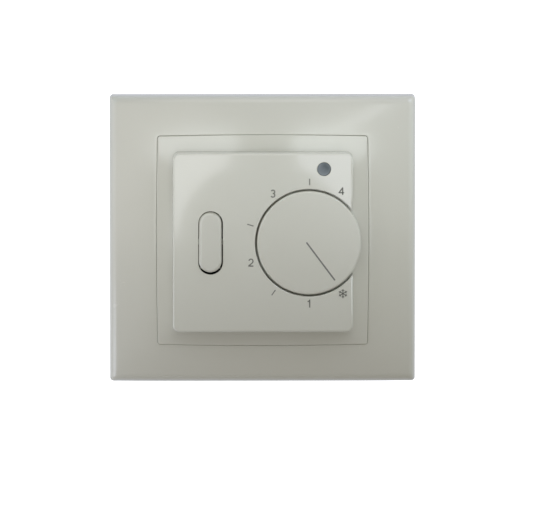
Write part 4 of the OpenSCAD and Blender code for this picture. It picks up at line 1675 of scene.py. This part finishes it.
@dataclass(frozen=True)
class RingPanel:
    """A sector of a diffuse ring light that stands close in front of the object, unseen by the camera.

    Attributes:
        name: Its name.
        inner: Inner radius in millimetres.
        outer: Outer radius in millimetres.
        start: First angle in degrees.
        end: Last angle in degrees.
        radiance: Its radiance in each colour.
        height: Its distance from the wall in millimetres.
        centre: The ring's centre, face-on in millimetres.
    """

    name: str
    inner: float
    outer: float
    start: float
    end: float
    radiance: Colour
    height: float = 60.0
    centre: Pair = (0.47, -5.6)

    def hang(self) -> None:
        """Adds the panel."""
        m = Model()
        there = arc(self.centre, self.inner, self.start, self.end, 48)
        back = arc(self.centre, self.outer, self.end, self.start, 48)
        m.cap(m.ring(there + back, self.height))
        mesh = bpy.data.meshes.new(self.name)
        m.bm.to_mesh(mesh)
        m.bm.free()
        mesh.transform(FACE_ON)
        panel = add_object(self.name, mesh)
        peak = max(self.radiance)
        s = Shader(self.name)
        glow = {"Emission Color": tuple(c / peak for c in self.radiance), "Emission Strength": peak}
        s.surface({"Base Color": (0, 0, 0), "Specular IOR Level": 0.0, **glow})
        mesh.materials.append(s.material)
        panel.visible_camera = False
        panel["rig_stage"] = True


@dataclass
class Studio:
    """A pale floor, soft light from above on the right, and a far camera a little above the object.

    Attributes:
        distance: Distance of the camera in metres.
        view_width: Width of the view at the object in millimetres.
        azimuth: Direction of the camera in degrees, to the right of straight on.
        elevation: Height of the camera above the horizon in degrees.
        aim: Where the camera looks, face-on in millimetres.
        floor_drop: Depth of the floor below the object's centre in metres.
        sky: Radiance of the surroundings in front.
        back_sky: Radiance of the surroundings behind the wall.
        sky_blend: Half width of the change between the two, as a share of the direction's length.
        floor_half: Half size of the floor in metres.
        sensor: Width of the camera's sensor in millimetres.
        far: Farthest distance that the camera sees, in metres.
        lamps: The softboxes.
        panels: The sectors of the ring light.
    """

    distance: float = 3.5
    view_width: float = 154.25
    azimuth: float = -0.6
    elevation: float = 7.2
    aim: Triple = (3.96, -4.6, 0.0)
    floor_drop: float = 0.16
    sky: Colour = (0.34, 0.325, 0.304)
    back_sky: Colour = (0.6, 0.62, 0.68)
    sky_blend: float = 0.1
    floor_half: float = 30.0
    sensor: float = 36.0
    far: float = 60.0
    lamps: tuple[Softbox, ...] = (
        Softbox("left", (-140, 40, 56), (130, 130), (0.641, 0.652, 0.704)),
        Softbox("right", (150, 50, 56), (150, 150), (0.571, 0.657, 0.661)),
        Softbox("top", (0, 125, 56), (80, 80), (0.624, 0.634, 0.63)),
        Softbox("top_left", (-95, 110, 56), (70, 70), (0.199, 0.439, 0.652)),
        Softbox("top_right", (95, 110, 56), (70, 70), (1.4, 1.5, 2.0)),
        Softbox("low_left", (-120, -60, 56), (80, 80), (1.232, 1.302, 1.573)),
        Softbox("front_low", (0, -60, 400), (150, 150), (0.076, 0.112, 0.124)),
        Softbox("corner_strip", (34, 46, 58), (24, 3.2), (2.4, 2.5, 2.6), (34, 46, 0), 28.0),
    )
    panels: tuple[RingPanel, ...] = (
        RingPanel("near_left", 24, 37, 100, 188, (1.825, 1.862, 1.903)),
        RingPanel("near_right", 24, 37, -8, 78, (1.745, 1.801, 1.916)),
        RingPanel("middle_left", 37, 52, 100, 150, (1.544, 1.59, 1.611)),
        RingPanel("middle_right", 37, 52, 30, 78, (1.637, 1.723, 1.744)),
        RingPanel("far_left", 52, 90, 100, 188, (0.64, 0.61, 0.578)),
        RingPanel("far_right", 52, 90, -8, 78, (0.576, 0.57, 0.548)),
    )

    def build(self) -> None:
        """Builds the studio."""
        bpy.context.scene.view_settings.view_transform = "Standard"
        self._world()
        self._floor()
        for light in (*self.lamps, *self.panels):
            light.hang()
        self._camera()

    def _world(self) -> None:
        """Sets a pale sky that lights the object softly and looks white behind it."""
        world = bpy.data.worlds.new("studio")
        bpy.context.scene.world = world
        s = Shader("studio", world)
        where = s.out(s.node("ShaderNodeTexCoord", {}, {}), "Generated")
        depth = s.out(s.node("ShaderNodeSeparateXYZ", {}, {"Vector": where}), "Y")
        edge = {"Value": depth, "From Min": -self.sky_blend, "From Max": self.sky_blend}
        behind = s.out(s.node("ShaderNodeMapRange", {}, edge))
        soft = s.out(s.node("ShaderNodeBackground", {}, {"Color": s.mix(behind, self.sky, self.back_sky)}))
        white = s.out(s.node("ShaderNodeBackground", {}, {"Color": (1, 1, 1, 1), "Strength": 1.0}))
        seen = s.out(s.node("ShaderNodeLightPath", {}, {}), "Is Camera Ray")
        mixed = s.out(s.node("ShaderNodeMixShader", {}, {0: seen, 1: soft, 2: white}))
        s.node("ShaderNodeOutputWorld", {}, {"Surface": mixed})

    def _floor(self) -> None:
        """Lays a plain pale floor."""
        bm = bmesh.new()
        low = Matrix.Translation((0, 0, -self.floor_drop))
        bmesh.ops.create_grid(bm, x_segments=1, y_segments=1, size=self.floor_half, matrix=low)
        mesh = bpy.data.meshes.new("floor")
        bm.to_mesh(mesh)
        bm.free()
        floor = add_object("floor", mesh)
        s = Shader("floor")
        glow = {"Emission Color": (1, 1, 1), "Emission Strength": 1.0}
        s.surface({"Base Color": (0.85, 0.85, 0.84), "Roughness": 0.7, **glow})
        mesh.materials.append(s.material)
        floor.visible_glossy = False
        floor.visible_diffuse = False
        floor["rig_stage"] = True

    def _camera(self) -> None:
        """Sets the camera."""
        data = bpy.data.cameras.new("camera")
        data.sensor_width = self.sensor
        data.lens = self.sensor * self.distance / (self.view_width * MM)
        camera = add_object("camera", data)
        a, e = math.radians(self.azimuth), math.radians(self.elevation)
        back = Vector((math.sin(a) * math.cos(e), -math.cos(a) * math.cos(e), math.sin(e)))
        camera.location = FACE_ON @ Vector(self.aim) + back * self.distance
        camera.rotation_euler = back.to_track_quat("Z", "Y").to_euler()
        data.clip_end = self.far
        bpy.context.scene.camera = camera


def main() -> None:
    """Builds the pieces in order."""
    logging.basicConfig(level=logging.INFO, format="%(message)s")
    surround = Surround()
    surround.build_frame()
    surround.build_ring()
    cover = Cover()
    cover.build_cover()
    cover.build_scale()
    cover.build_lens()
    dial = Dial()
    dial.build_dial()
    dial.build_pointer()
    Rocker().build_key()
    WallPart().build()
    done = {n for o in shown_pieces() if "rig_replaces" in o for n in o["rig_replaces"]}
    InnerParts().build(done)
    Studio().build()


if __name__ == "__main__":
    main()
